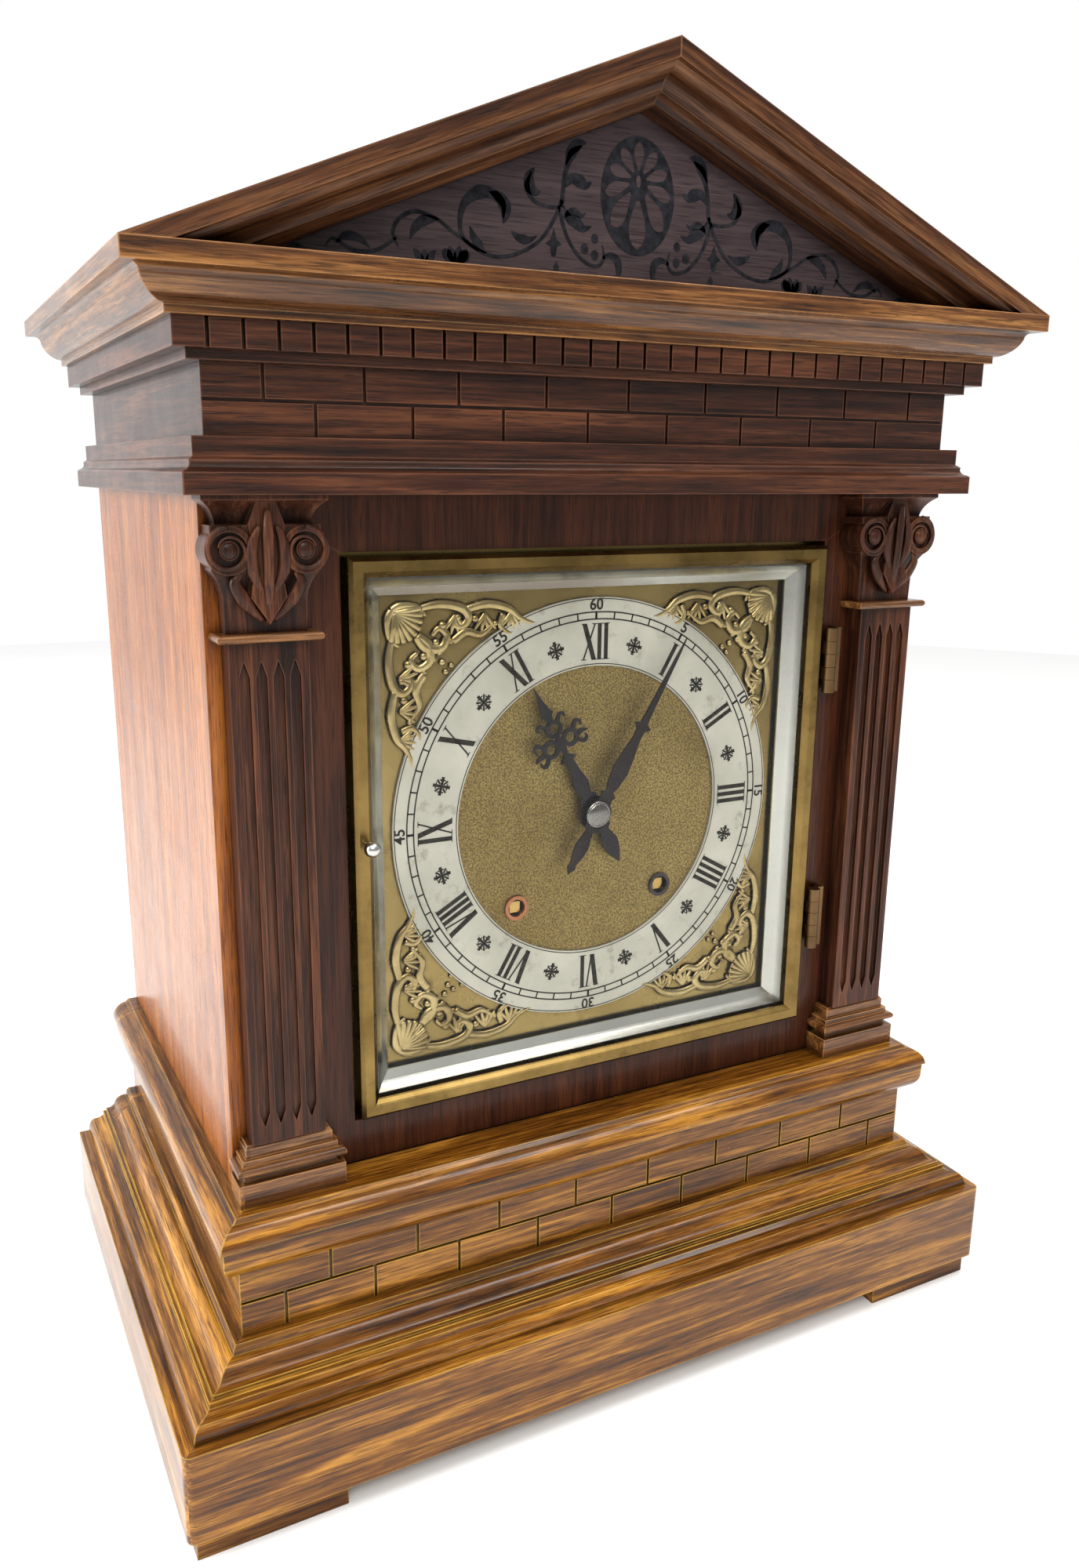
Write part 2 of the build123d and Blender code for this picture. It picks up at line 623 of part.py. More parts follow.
section = [(0, glass_back), (0, SIGHT_BACK), (-SIGHT_RUN, SIGHT_BACK), (-SIGHT_RUN, SIGHT_BACK - 0.8),
           (-SIGHT_RUN / 2 - 0.3, glass_back + 3.0), (-SIGHT_RUN / 2 + 0.3, glass_back + 2.4),
           (-0.8, glass_back)]
sight = mitred_frame(door_half_w, door_half_h, sight_half_w, sight_half_h, DOOR_Z, section)
save("sight_frame", *sight)

knob_x = -(door_half_w - DOOR_CHAMFER - 2.2)
knob_z = DOOR_Z + KNOB_Z
stem = cylinder(knob_x, face_d - 3.4, face_d, knob_z, 1.3)
ball = Pos(knob_x, FY + face_d - 3.4 - KNOB_R * 0.8, knob_z) * Sphere(KNOB_R)
save("door_knob", single(stem + ball))


def upright_pin(x, d, z0, z1, r):
    """A cylinder standing upright."""
    return Pos(x, FY + d, (z0 + z1) / 2) * Cylinder(r, z1 - z0)


door_leaves = []
case_leaves = []
for offset in (HINGE_UPPER, HINGE_LOWER):
    low = DOOR_Z + offset - HINGE_LEN / 2
    step = HINGE_LEN / 5
    moving = None
    fixed = upright_pin(HINGE_X, HINGE_DEPTH, low, low + HINGE_LEN, HINGE_PIN_R)
    for k in range(5):
        z0 = low + k * step
        z1 = z0 + step
        if k % 2:
            hole = upright_pin(HINGE_X, HINGE_DEPTH, z0 - 1, z1 + 1, HINGE_PIN_R + PIN_FIT)
            knuckle = upright_pin(HINGE_X, HINGE_DEPTH, z0 + 0.15, z1 - 0.15, HINGE_R)
            knuckle = knuckle - hole
            tab = block(door_half_w - 0.01, HINGE_X - HINGE_PIN_R - 0.4, HINGE_DEPTH + 0.9, HINGE_DEPTH + 2.3,
                        z0 + 0.15, z1 - 0.15)
            door_leaves.append(single(knuckle + tab))
        else:
            knuckle = upright_pin(HINGE_X, HINGE_DEPTH, z0, z1, HINGE_R)
            tab = block(HINGE_X + HINGE_PIN_R, HINGE_X + 5.4, HINGE_DEPTH + 0.6, HINGE_DEPTH + 2.3, z0, z1)
            fixed = fixed + knuckle + tab
    leaf = block(HINGE_X + 3.0, HINGE_X + 5.4, HINGE_DEPTH + 0.6, BODY_FRONT, low, low + HINGE_LEN)
    case_leaves.append(single(fixed + leaf))
save("door_hinge_knuckles", *door_leaves)
save("case_hinge_leaves", *case_leaves)

# Dial
dial_half = DIAL_PLATE_W / 2
dial_cz = DOOR_Z
plate_low = dial_cz - dial_half
plate = block(-dial_half, dial_half, PLATE_FRONT, PLATE_FRONT + DIAL_PLATE_T, plate_low, dial_cz + dial_half)
holes = [cylinder(0, PLATE_FRONT - 5, PLATE_FRONT + 9, DIAL_Z, PIPE_R + RUNNING_GAP)]
for side in (-1, 1):
    hole_z = DIAL_Z - WINDING_DROP
    holes.append(cylinder(side * WINDING_X, PLATE_FRONT - 5, PLATE_FRONT + 9, hole_z, GROMMET_R - 0.4))
for hole in holes:
    plate = plate - hole
save("dial_plate", single(plate))
ring = cylinder(0, RING_FRONT, PLATE_FRONT, DIAL_Z, RING_R)
ring = ring - cylinder(0, RING_FRONT - 1, PLATE_FRONT + 1, DIAL_Z, RING_INNER_R)
save("chapter_ring", single(ring))
centre = cylinder(0, PLATE_FRONT - CENTRE_T, PLATE_FRONT, DIAL_Z, RING_INNER_R - 0.1)
for hole in holes:
    centre = centre - hole
save("dial_centre", single(centre))
grommets = []
for side in (-1, 1):
    x = side * WINDING_X
    zc = DIAL_Z - WINDING_DROP
    top = PLATE_FRONT - CENTRE_T
    collar = cylinder(x, top - 0.9, top, zc, GROMMET_R + 0.5)
    collar = collar + cylinder(x, top - 0.1, PLATE_FRONT + DIAL_PLATE_T, zc, GROMMET_R - 0.4)
    collar = collar - cylinder(x, top - 3, PLATE_FRONT + 9, zc, GROMMET_BORE)
    grommets.append(single(collar))
save("winding_grommets", *grommets)

spandrels = []
plate_half = SIGHT_W / 2 - 1.2
low_half = sight_half_h - SIGHT_RUN - 1.2
leaf_points = [(0, 0), (15, -1.4), (22, 2.6), (31, -0.6), (39, 3.4), (47, 1.4), (SPANDREL_REACH, 8.6),
               (SPANDREL_REACH - 4, 14.4), (50, 10.6), (43, 15.0), (36, 12.4), (31, 19.5), (25, 20.6),
               (20.6, 25)]
for sx in (-1, 1):
    for sz in (-1, 1):
        corner_x = sx * plate_half
        corner_z = dial_cz + sz * low_half
        loop = leaf_points + [(b, a) for a, b in reversed(leaf_points[1:-1])]
        points = [(corner_x - sx * (a + 1.6), corner_z - sz * (b + 1.6)) for a, b in loop]
        piece = flat_plate(points, PLATE_FRONT - SPANDREL_T, PLATE_FRONT)
        clear = cylinder(0, RING_FRONT - 5, PLATE_FRONT + 5, DIAL_Z, RING_R + 0.3)
        spandrels.append(single(piece - clear))
save("spandrels", *spandrels)
feet_solids = []
for sx in (-1, 1):
    for sz in (-DIAL_FOOT_LOW, DIAL_FOOT_HIGH):
        foot = cylinder(sx * DIAL_FOOT_X, PLATE_FRONT + DIAL_PLATE_T, MOVE_FRONT, DIAL_Z + sz, DIAL_FOOT_R)
        feet_solids.append(foot)
save("dial_feet", *feet_solids)


# Hands
def hand(points, angle, depth, hub_r, bore, holes):
    """A pierced hand from a half outline in reach and half width, turned to its angle."""
    loop = points + [(-w, t) for w, t in reversed(points) if w]
    body = flat_plate([(w, DIAL_Z + t) for w, t in loop], depth, depth + HAND_T)
    body = body + cylinder(0, depth, depth + HAND_T, DIAL_Z, hub_r)
    body = body - cylinder(0, depth - 2, depth + 2, DIAL_Z, bore)
    for reach, r in holes:
        body = body - cylinder(0, depth - 2, depth + 2, DIAL_Z + reach, r)
    turn = Pos(0, 0, DIAL_Z) * Rot(0, angle, 0) * Pos(0, 0, -DIAL_Z)
    return single(turn * body)


minute = hand([(0, MINUTE_LEN), (0.5, 60), (1.5, 46), (2.0, 40), (4.6, 36.5), (2.2, 34.5), (3.2, 30),
               (2.0, 25), (1.6, 14), (3.2, 6), (3.0, -6), (1.4, -12), (2.2, -18), (3.4, -21),
               (0, -MINUTE_TAIL)],
              MINUTE_ANGLE, MINUTE_DEPTH, 5.0, ARBOR_R + 0.02, [(30.5, 1.4)])
save("minute_hand", minute)
hour = hand([(0, HOUR_LEN), (0.8, 48), (2.0, 43), (3.2, 41), (7.6, 36.5), (8.4, 31), (5.2, 27.5), (3.0, 25.5),
             (2.2, 22), (1.8, 12), (3.6, 6), (3.2, -6), (1.6, -11), (2.4, -16), (4.0, -19.5),
             (0, -HOUR_TAIL)],
            HOUR_ANGLE, HOUR_DEPTH, 6.4, PIPE_R + 0.02, [(32.5, 2.6), (40.0, 1.0)])
save("hour_hand", hour)
nut_front = MINUTE_DEPTH - NUT_T
nut = cylinder(0, nut_front, MINUTE_DEPTH, DIAL_Z, NUT_R)
nut = chamfer(nut.faces().sort_by(Axis.Y)[0].edges(), 0.6)
nut = single(nut - cylinder(0, MINUTE_DEPTH - 0.5, MINUTE_DEPTH + 1, DIAL_Z, ARBOR_R + 0.02))
save("hand_nut", nut)


# Motion work
def gear(x, d0, d1, zc, teeth, centres_share, phase, bore, addendum=0.55, root=0.95):
    """A wheel with straight flanked teeth and generous backlash."""
    pitch_r = centres_share
    module = 2 * pitch_r / teeth
    points = []
    for k in range(teeth):
        mid = 2 * math.pi * (k + phase) / teeth
        base_half = 0.24 * 2 * math.pi / teeth
        tip_half = 0.12 * 2 * math.pi / teeth
        for r, a in ((pitch_r - root * module, -base_half), (pitch_r + addendum * module, -tip_half),
                     (pitch_r + addendum * module, tip_half), (pitch_r - root * module, base_half)):
            points.append((x + r * math.sin(mid + a), zc + r * math.cos(mid + a)))
    wheel = flat_plate(points, d0, d1)
    if bore:
        wheel = wheel - cylinder(x, d0 - 1, d1 + 1, zc, bore)
    return wheel


cannon_share = MOTION_CENTRES * CANNON_TEETH / (CANNON_TEETH + MINUTE_WHEEL_TEETH)
minute_share = MOTION_CENTRES - cannon_share
pinion_share = MOTION_CENTRES * PINION_TEETH / (PINION_TEETH + HOUR_WHEEL_TEETH)
hour_share = MOTION_CENTRES - pinion_share
wheel_d1 = MOVE_FRONT - 1.6
wheel_d0 = wheel_d1 - MOTION_WHEEL_T
hour_d1 = wheel_d0 - 0.8
hour_d0 = hour_d1 - MOTION_WHEEL_T
arbor = cylinder(0, MINUTE_DEPTH - 0.5, MOVE_END + 2, DIAL_Z, ARBOR_R)
arbor = arbor + cylinder(0, MINUTE_DEPTH + HAND_T, MOVE_FRONT - 0.4, DIAL_Z, CANNON_R)
arbor = arbor + gear(0, wheel_d0, wheel_d1, DIAL_Z, CANNON_TEETH, cannon_share, 0.0, 0)
save("cannon_arbor", single(arbor))
pipe = cylinder(0, HOUR_DEPTH, hour_d1, DIAL_Z, PIPE_R)
pipe = pipe + gear(0, hour_d0, hour_d1, DIAL_Z, HOUR_WHEEL_TEETH, hour_share, 0.0, 0)
pipe = pipe - cylinder(0, HOUR_DEPTH - 1, hour_d1 + 1, DIAL_Z, CANNON_R + PIN_FIT)
save("hour_wheel", single(pipe))
stud_z = DIAL_Z + MOTION_CENTRES
stud = cylinder(0, hour_d0 - 1, MOVE_FRONT, stud_z, 1.5)
stud = stud + cylinder(0, wheel_d1 + 0.3, MOVE_FRONT, stud_z, 3.0)
intermediate = gear(0, wheel_d0, wheel_d1, stud_z, MINUTE_WHEEL_TEETH, minute_share, 0.5, 0)
intermediate = intermediate + gear(0, hour_d0, wheel_d0 + 0.2, stud_z, PINION_TEETH, pinion_share, 0.5, 0)
intermediate = intermediate - cylinder(0, hour_d0 - 1, wheel_d1 + 1, stud_z, 1.5 + PIN_FIT)
save("minute_wheel", single(intermediate))

# Movement plates, pillars and barrels
plate_z0 = DIAL_Z - PLATE_BOTTOM
plate_z1 = DIAL_Z + PLATE_TOP
half = PLATE_W / 2
barrel_z = DIAL_Z - WINDING_DROP
hammer_z = DIAL_Z + HAMMER_RISE
front_plate = block(-half, half, MOVE_FRONT, MOVE_FRONT + PLATE_T, plate_z0, plate_z1)
back_plate = block(-half, half, MOVE_BACK, MOVE_END, plate_z0, plate_z1)
for d in (MOVE_FRONT, MOVE_BACK):
    for x, zc, r in ((0, DIAL_Z, ARBOR_R), (-WINDING_X, barrel_z, WINDING_ARBOR_R),
                     (WINDING_X, barrel_z, WINDING_ARBOR_R)):
        hole = cylinder(x, d - 1, d + PLATE_T + 1, zc, r + PIN_FIT)
        front_plate = front_plate - hole
        back_plate = back_plate - hole
back_plate = back_plate - cylinder(HAMMER_X, MOVE_BACK - 1, MOVE_END + 1, hammer_z, 1.5 + PIN_FIT)
save("movement_front_plate", single(front_plate + stud))
save("movement_back_plate", single(back_plate))
pillars = []
for sx in (-1, 1):
    for zc in (plate_z0 + PILLAR_INSET, plate_z1 - PILLAR_INSET):
        pillars.append(cylinder(sx * (half - PILLAR_INSET), MOVE_FRONT + PLATE_T, MOVE_BACK, zc, PILLAR_R))
save("movement_pillars", *pillars)
for side, name in ((-1, "strike"), (1, "going")):
    x = side * WINDING_X
    start = MOVE_FRONT + PLATE_T + 4
    drum = cylinder(x, start + GREAT_WHEEL_T, start + GREAT_WHEEL_T + BARREL_LEN, barrel_z, BARREL_R)
    share = GREAT_WHEEL_R - 1
    drum = drum + gear(x, start, start + GREAT_WHEEL_T + 0.1, barrel_z, GREAT_WHEEL_TEETH, share, 0.0, 0)
    drum = drum + cylinder(x, MOVE_FRONT - 1, MOVE_END + 1.5, barrel_z, WINDING_ARBOR_R)
    square = WINDING_SQUARE / 2
    square_front = PLATE_FRONT + 0.4
    key = block(x - square, x + square, square_front, MOVE_FRONT, barrel_z - square, barrel_z + square)
    drum = drum + key
    save(f"{name}_barrel", single(drum))

# Seat board, pendulum, gong and hammer
seat_front = PLATE_FRONT + DIAL_PLATE_T + 3
save("seat_board", block(-INNER, INNER, seat_front, SEAT_BACK, plate_z0 - SEAT_T, plate_z0))
seat_low = plate_z0 - SEAT_T
seat_rails = []
for side in (-1, 1):
    outer = side * INNER
    rail = block(outer, outer - side * RAIL_W, seat_front, SEAT_BACK + 12, seat_low - RAIL_W, seat_low)
    seat_rails.append(rail)
save("seat_rails", *seat_rails)
pivot_z = DIAL_Z + PENDULUM_PIVOT
cock = block(-8, 8, MOVE_END, MOVE_END + 5, pivot_z - 10, pivot_z + 10)
cock = cock + cylinder(0, MOVE_END + 5, MOVE_END + 14, pivot_z, 1.0)
cock = cock + cylinder(0, MOVE_END + 12.5, MOVE_END + 14, pivot_z, 2.2)
save("back_cock", single(cock))
rod_d = MOVE_END + 8.75
eye = cylinder(0, MOVE_END + 5.3, MOVE_END + 12.2, pivot_z, 3.0)
bob_z = pivot_z - PENDULUM_LEN
rod_top = pivot_z - 2
rod_low = bob_z - BOB_R - 6
rod = Pos(0, FY + rod_d, (rod_top + rod_low) / 2) * Cylinder(ROD_R, rod_top - rod_low)
rod = eye + rod - cylinder(0, MOVE_END + 4, MOVE_END + 13, pivot_z, 1.0 + PIN_FIT)
bob = cylinder(0, rod_d - BOB_T / 2, rod_d + BOB_T / 2, bob_z, BOB_R)
bob = chamfer(bob.edges().filter_by(GeomType.CIRCLE), 2.4)
slot = Pos(0, FY + rod_d, bob_z) * Cylinder(ROD_R + 0.02, 4 * BOB_R)
save("pendulum_bob", single(bob - slot))
nut_z = bob_z - BOB_R
rating = Pos(0, FY + rod_d, nut_z - 1.7) * Cylinder(4.0, 3.0) - slot
save("pendulum_rod", single(rod), single(rating))

gong_z = DIAL_Z - GONG_DROP
gong_y = FY + GONG_DEPTH
block_top = gong_z - GONG_STEM
edges = [Edge.make_line((-GONG_R, gong_y, block_top), (-GONG_R, gong_y, gong_z))]
x = -GONG_R
for k in range(GONG_HALF_TURNS):
    r = GONG_R - k * GONG_PITCH / 2
    way = 1 if k % 2 == 0 else -1
    end = x + way * 2 * r
    top = (x + way * r, gong_y, gong_z + way * r)
    edges.append(Edge.make_three_point_arc((x, gong_y, gong_z), top, (end, gong_y, gong_z)))
    x = end
path = Wire(edges)
section_plane = Plane(origin=path @ 0, z_dir=path % 0)
gong = sweep(section_plane * Circle(GONG_WIRE_R), path)
print("gong: least gap between turns", GONG_PITCH - 2 * GONG_WIRE_R)
save("gong", single(gong))
stand = block(-GONG_R - GONG_BLOCK_HALF, -GONG_R + GONG_BLOCK_HALF, GONG_DEPTH - GONG_BLOCK_HALF + 1,
              GONG_DEPTH + GONG_BLOCK_HALF - 1, Z_LOWER + BOARD_T, block_top)
save("gong_block", stand)
arm_d0 = GONG_DEPTH - HAMMER_ARM_T / 2
arm_d1 = GONG_DEPTH + HAMMER_ARM_T / 2
arm_x = HAMMER_X + 2
hammer = cylinder(HAMMER_X, MOVE_BACK - 2, arm_d1, hammer_z, 1.5)
hammer = hammer + block(arm_x - 4, arm_x + HAMMER_ARM_W, arm_d0, arm_d1, hammer_z - 5, hammer_z + 4)
hammer = hammer + block(arm_x, arm_x + HAMMER_ARM_W, arm_d0, arm_d1, hammer_z - HAMMER_LEN, hammer_z)
head = Pos(HAMMER_X + 4, gong_y, hammer_z - HAMMER_LEN) * Rot(0, 90, 0) * Cylinder(HAMMER_R, 9)
save("hammer", single(hammer + head))

# Back door
half_w = frame_in - BACK_GAP
door_low = frame_low + BACK_RAIL + BACK_GAP
door_high = Z_ARCH - BACK_RAIL - BACK_GAP
back_mid = (door_low + door_high) / 2
knob_x = -(half_w - 9)
board = block(-half_w, half_w, back_face - BACK_T, back_face, door_low, door_high)
board = board - block(-half_w + 18, half_w - 18, back_face - 2, back_face + 1, door_low + 18, door_high - 18)
board = board - cylinder(knob_x, back_face - BACK_T - 1, back_face + 1, back_mid, 2.0 + PIN_FIT)
back_hinge_x = frame_in - BACK_GAP / 2
back_hinge_d = back_face + 1.7
knuckles = []
for offset in (-60.0, 60.0):
    zc = back_mid + offset
    pin = upright_pin(back_hinge_x, back_hinge_d, zc - 12, zc + 12, 0.7)
    moving = upright_pin(back_hinge_x, back_hinge_d, zc + 0.2, zc + 12, 1.6)
    moving = moving + block(back_hinge_x - 7, back_hinge_x, back_face, back_face + 0.8, zc + 0.2, zc + 12)
    board = board + (moving - upright_pin(back_hinge_x, back_hinge_d, zc - 1, zc + 13, 0.7 + PIN_FIT))
    still = upright_pin(back_hinge_x, back_hinge_d, zc - 12, zc, 1.6)
    still = still + block(back_hinge_x, back_hinge_x + 7, back_face, back_face + 0.8, zc - 12, zc)
    knuckles.append(single(still + pin))
save("back_door", single(board))
save("back_hinges", *knuckles)
knob = cylinder(knob_x, back_face - BACK_T - 3, back_face + 0.5, back_mid, 2.0)
knob = knob + cylinder(knob_x, back_face + 0.3, back_face + 4.0, back_mid, BACK_KNOB_R)
catch = back_face - BACK_T - 0.4
knob = knob + block(knob_x - 3, knob_x + 3, catch - 2, catch, back_mid - 3, back_mid + 12)
save("back_knob", single(knob))

print(len(written), "pieces")
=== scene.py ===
# %% [markdown]
# # Bracket clock
# A wooden case with a pediment, a glazed brass door and a brass dial with a silvered ring. The packed
# clock is loaded first and stays as it is: its solids keep their shapes and get their woods, brass,
# silvering and glass here. Only what a plain solid can't show well is built on top of them: the dial's
# figures, the cast corner pieces, the pierced hands, the carving on the capitals and the cut pattern
# in the pediment. Each of those is a mesh of its own that rides on a body, so it moves with it.

# %% Load the frame
import bpy
import bmesh
import math
from mathutils import Matrix, Vector


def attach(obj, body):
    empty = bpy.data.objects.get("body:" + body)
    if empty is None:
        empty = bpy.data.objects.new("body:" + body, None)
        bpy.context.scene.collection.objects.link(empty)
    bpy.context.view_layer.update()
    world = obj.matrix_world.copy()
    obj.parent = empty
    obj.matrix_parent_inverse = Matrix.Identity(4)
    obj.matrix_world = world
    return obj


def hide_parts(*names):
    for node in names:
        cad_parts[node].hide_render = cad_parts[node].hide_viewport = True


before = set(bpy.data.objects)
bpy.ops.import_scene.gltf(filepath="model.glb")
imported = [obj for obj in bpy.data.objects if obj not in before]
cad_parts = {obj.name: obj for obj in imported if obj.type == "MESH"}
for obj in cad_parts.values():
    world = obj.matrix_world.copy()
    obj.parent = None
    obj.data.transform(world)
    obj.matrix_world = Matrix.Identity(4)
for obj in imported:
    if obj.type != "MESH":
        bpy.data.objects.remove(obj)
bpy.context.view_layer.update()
MM = 0.001

# %% [markdown]
# ## Where things are
# The main places are read from the imported solids, in millimetres, so the ring, hands, corners and
# capitals made here stay with them if the clock is packed with another size. The widths and radii
# within a piece, and the lines of the pediment's pattern, are drawn for this clock.

# %% Sizes of the imported nodes
def packed_box(node):
    """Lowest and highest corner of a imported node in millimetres, to a tenth."""
    corners = [Vector(corner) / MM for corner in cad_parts[node].bound_box]
    low = [round(min(c[i] for c in corners), 1) for i in range(3)]
    high = [round(max(c[i] for c in corners), 1) for i in range(3)]
    return low, high


# The plinth stands out this far from the case's front and side lines, where its mitres start.
PLINTH_OUT = 27.2
plinth_low, plinth_high = packed_box("plinth")
FRONT_Y = plinth_low[1] + PLINTH_OUT
HALF_CASE = plinth_high[0] - PLINTH_OUT
print("front line", FRONT_Y, "half width", HALF_CASE)

# %% [markdown]
# ## Writing materials
# The colours and bumps of this clock come from noise in object coordinates, so no picture is needed
# and nothing slides when a door opens. Materials could be drawn by hand in the node editor. Here a
# small class writes the nodes, because the same few steps come back in every finish.

# %% Node helpers
class Nodes:
    """A short way to write a material's nodes."""

    def __init__(self, name):
        self.material = bpy.data.materials.new(name)
        self.material.use_nodes = True
        self.tree = self.material.node_tree
        self.shader = self.tree.nodes["Principled BSDF"]
        self.coords = self.tree.nodes.new("ShaderNodeTexCoord").outputs["Object"]

    def node(self, kind, **settings):
        made = self.tree.nodes.new(kind)
        for key, value in settings.items():
            setattr(made, key, value)
        return made

    def link(self, a, b):
        self.tree.links.new(a, b)

    def math(self, kind, a, b=None):
        made = self.node("ShaderNodeMath", operation=kind)
        for i, value in enumerate((a, b)):
            if value is None:
                continue
            if isinstance(value, (int, float)):
                made.inputs[i].default_value = value
            else:
                self.link(value, made.inputs[i])
        return made.outputs[0]

    def scaled(self, vector, along):
        """The same coordinates squeezed further along the grain."""
        made = self.node("ShaderNodeVectorMath", operation="MULTIPLY")
        self.link(vector, made.inputs[0])
        made.inputs[1].default_value = (along, 1.0, 1.0)
        return made.outputs[0]

    def noise(self, vector, scale, detail=4.0, rough=0.55, distort=0.0):
        made = self.node("ShaderNodeTexNoise")
        self.link(vector, made.inputs["Vector"])
        made.inputs["Scale"].default_value = scale
        made.inputs["Detail"].default_value = detail
        made.inputs["Roughness"].default_value = rough
        made.inputs["Distortion"].default_value = distort
        return made.outputs["Fac"]

    def ramp(self, fac, stops):
        made = self.node("ShaderNodeValToRGB")
        self.link(fac, made.inputs["Fac"])
        elements = made.color_ramp.elements
        while len(elements) < len(stops):
            elements.new(0.5)
        for element, (place, colour) in zip(elements, stops):
            element.position = place
            element.color = (*colour, 1)
        return made.outputs["Color"]

    def mix(self, fac, a, b, blend="MIX"):
        made = self.node("ShaderNodeMix", data_type="RGBA", blend_type=blend)
        for socket, value in ((made.inputs["Factor"], fac), (made.inputs[6], a), (made.inputs[7], b)):
            if isinstance(value, (int, float)):
                socket.default_value = value
            elif isinstance(value, tuple):
                socket.default_value = (*value, 1)
            else:
                self.link(value, socket)
        return made.outputs[2]

    def bump(self, height, strength, distance, normal=None):
        made = self.node("ShaderNodeBump")
        made.inputs["Strength"].default_value = strength
        made.inputs["Distance"].default_value = distance
        self.link(height, made.inputs["Height"])
        if normal is not None:
            self.link(normal, made.inputs["Normal"])
        return made.outputs["Normal"]

    def set(self, **values):
        for key, value in values.items():
            socket = self.shader.inputs[key.replace("_", " ")]
            if isinstance(value, (int, float)):
                socket.default_value = value
            elif isinstance(value, tuple):
                socket.default_value = (*value, 1)
            else:
                self.link(value, socket)
        return self.material


# %% [markdown]
# ## Grain
# A board's grain runs along its length. On the real case each rail has its own board: the front
# mouldings run across, the side ones run back, the uprights run up and the raking mouldings run down
# the slopes. The mouldings are one mesh here, so the grain turns at the mitre, where the distance
# out to the side becomes larger than the distance out to the front. Squeezing the coordinates along
# the board draws every spot of the noise out into a long streak.

# %% Grain along each rail
# The plinth's rear board runs across, and ends this far outside the case's side lines.
REAR_BOARD_T = 14.1
REAR_BOARD_OUT = 13.0
REAR_BOARD_Y = plinth_high[1] - REAR_BOARD_T
rake_low, rake_high = packed_box("raking_cornice")
SLOPE = math.atan2(rake_high[2] - rake_low[2], rake_high[0])
# The right slope of the pediment is cut from another board than the left one.
BOARD_SHIFT = 0.7


def grain_vector(n, way, stretch):
    """Object coordinates squeezed along the grain."""
    split = n.node("ShaderNodeSeparateXYZ")
    n.link(n.coords, split.inputs[0])
    x, y, z = split.outputs
    joined = n.node("ShaderNodeCombineXYZ")
    if way == "mitre":
        side = n.math("SUBTRACT", n.math("ABSOLUTE", x), HALF_CASE * MM)
        ahead = n.math("SUBTRACT", FRONT_Y * MM, y)
        mask = n.math("GREATER_THAN", side, ahead)
        behind = n.math("GREATER_THAN", y, REAR_BOARD_Y * MM)
        within = n.math("LESS_THAN", side, REAR_BOARD_OUT * MM)
        mask = n.math("MULTIPLY", mask, n.math("SUBTRACT", 1.0, n.math("MULTIPLY", behind, within)))
        flip = n.math("SUBTRACT", 1.0, mask)
        along = n.math("ADD", n.math("MULTIPLY", x, flip), n.math("MULTIPLY", y, mask))
        depth = n.math("ADD", n.math("MULTIPLY", y, flip), n.math("MULTIPLY", x, mask))
        parts = (along, depth, z)
    elif way == "z":
        parts = (z, x, y)
    elif way == "x":
        parts = (x, y, z)
    elif way == "rake":
        wide = n.math("ABSOLUTE", x)
        run = math.cos(SLOPE)
        rise = math.sin(SLOPE)
        along = n.math("SUBTRACT", n.math("MULTIPLY", wide, run), n.math("MULTIPLY", z, rise))
        across = n.math("ADD", n.math("MULTIPLY", wide, rise), n.math("MULTIPLY", z, run))
        other_board = n.math("MULTIPLY", n.math("GREATER_THAN", x, 0.0), BOARD_SHIFT)
        parts = (n.math("ADD", along, other_board), y, across)
    else:
        parts = (y, x, z)
    n.link(n.math("MULTIPLY", parts[0], stretch), joined.inputs[0])
    n.link(parts[1], joined.inputs[1])
    n.link(parts[2], joined.inputs[2])
    return joined.outputs[0]

print("pediment slope", round(math.degrees(SLOPE), 2), "degrees")

# %% [markdown]
# ## Old polish, painted shade and painted highlights
# Years of wax and dust leave wood darker in the hollows, and hands rub the edges lighter. Here the dark
# hollows are partly painted shade as well, and the light edges partly painted highlights. The ambient
# occlusion node finds hollows and saw cuts. The bevel node rounds the normal near an edge, and where
# that differs from the flat normal, the edge is lightened, as wear and as a painted highlight. Both
# could be painted by hand, but as nodes they follow whatever shape the solids have.

# %% Wood finish
def hollow_dirt_and_shade(n, colour, dirt_and_shade, reach, amount):
    """Darkens a colour in hollows and saw cuts, as dirt and as painted shade."""
    shade = n.node("ShaderNodeAmbientOcclusion", samples=6, only_local=False)
    shade.inputs["Distance"].default_value = reach
    mask = n.ramp(shade.outputs["AO"], [(0.25, (1, 1, 1)), (0.85, (0, 0, 0))])
    return n.mix(n.math("MULTIPLY", mask, amount), colour, dirt_and_shade)


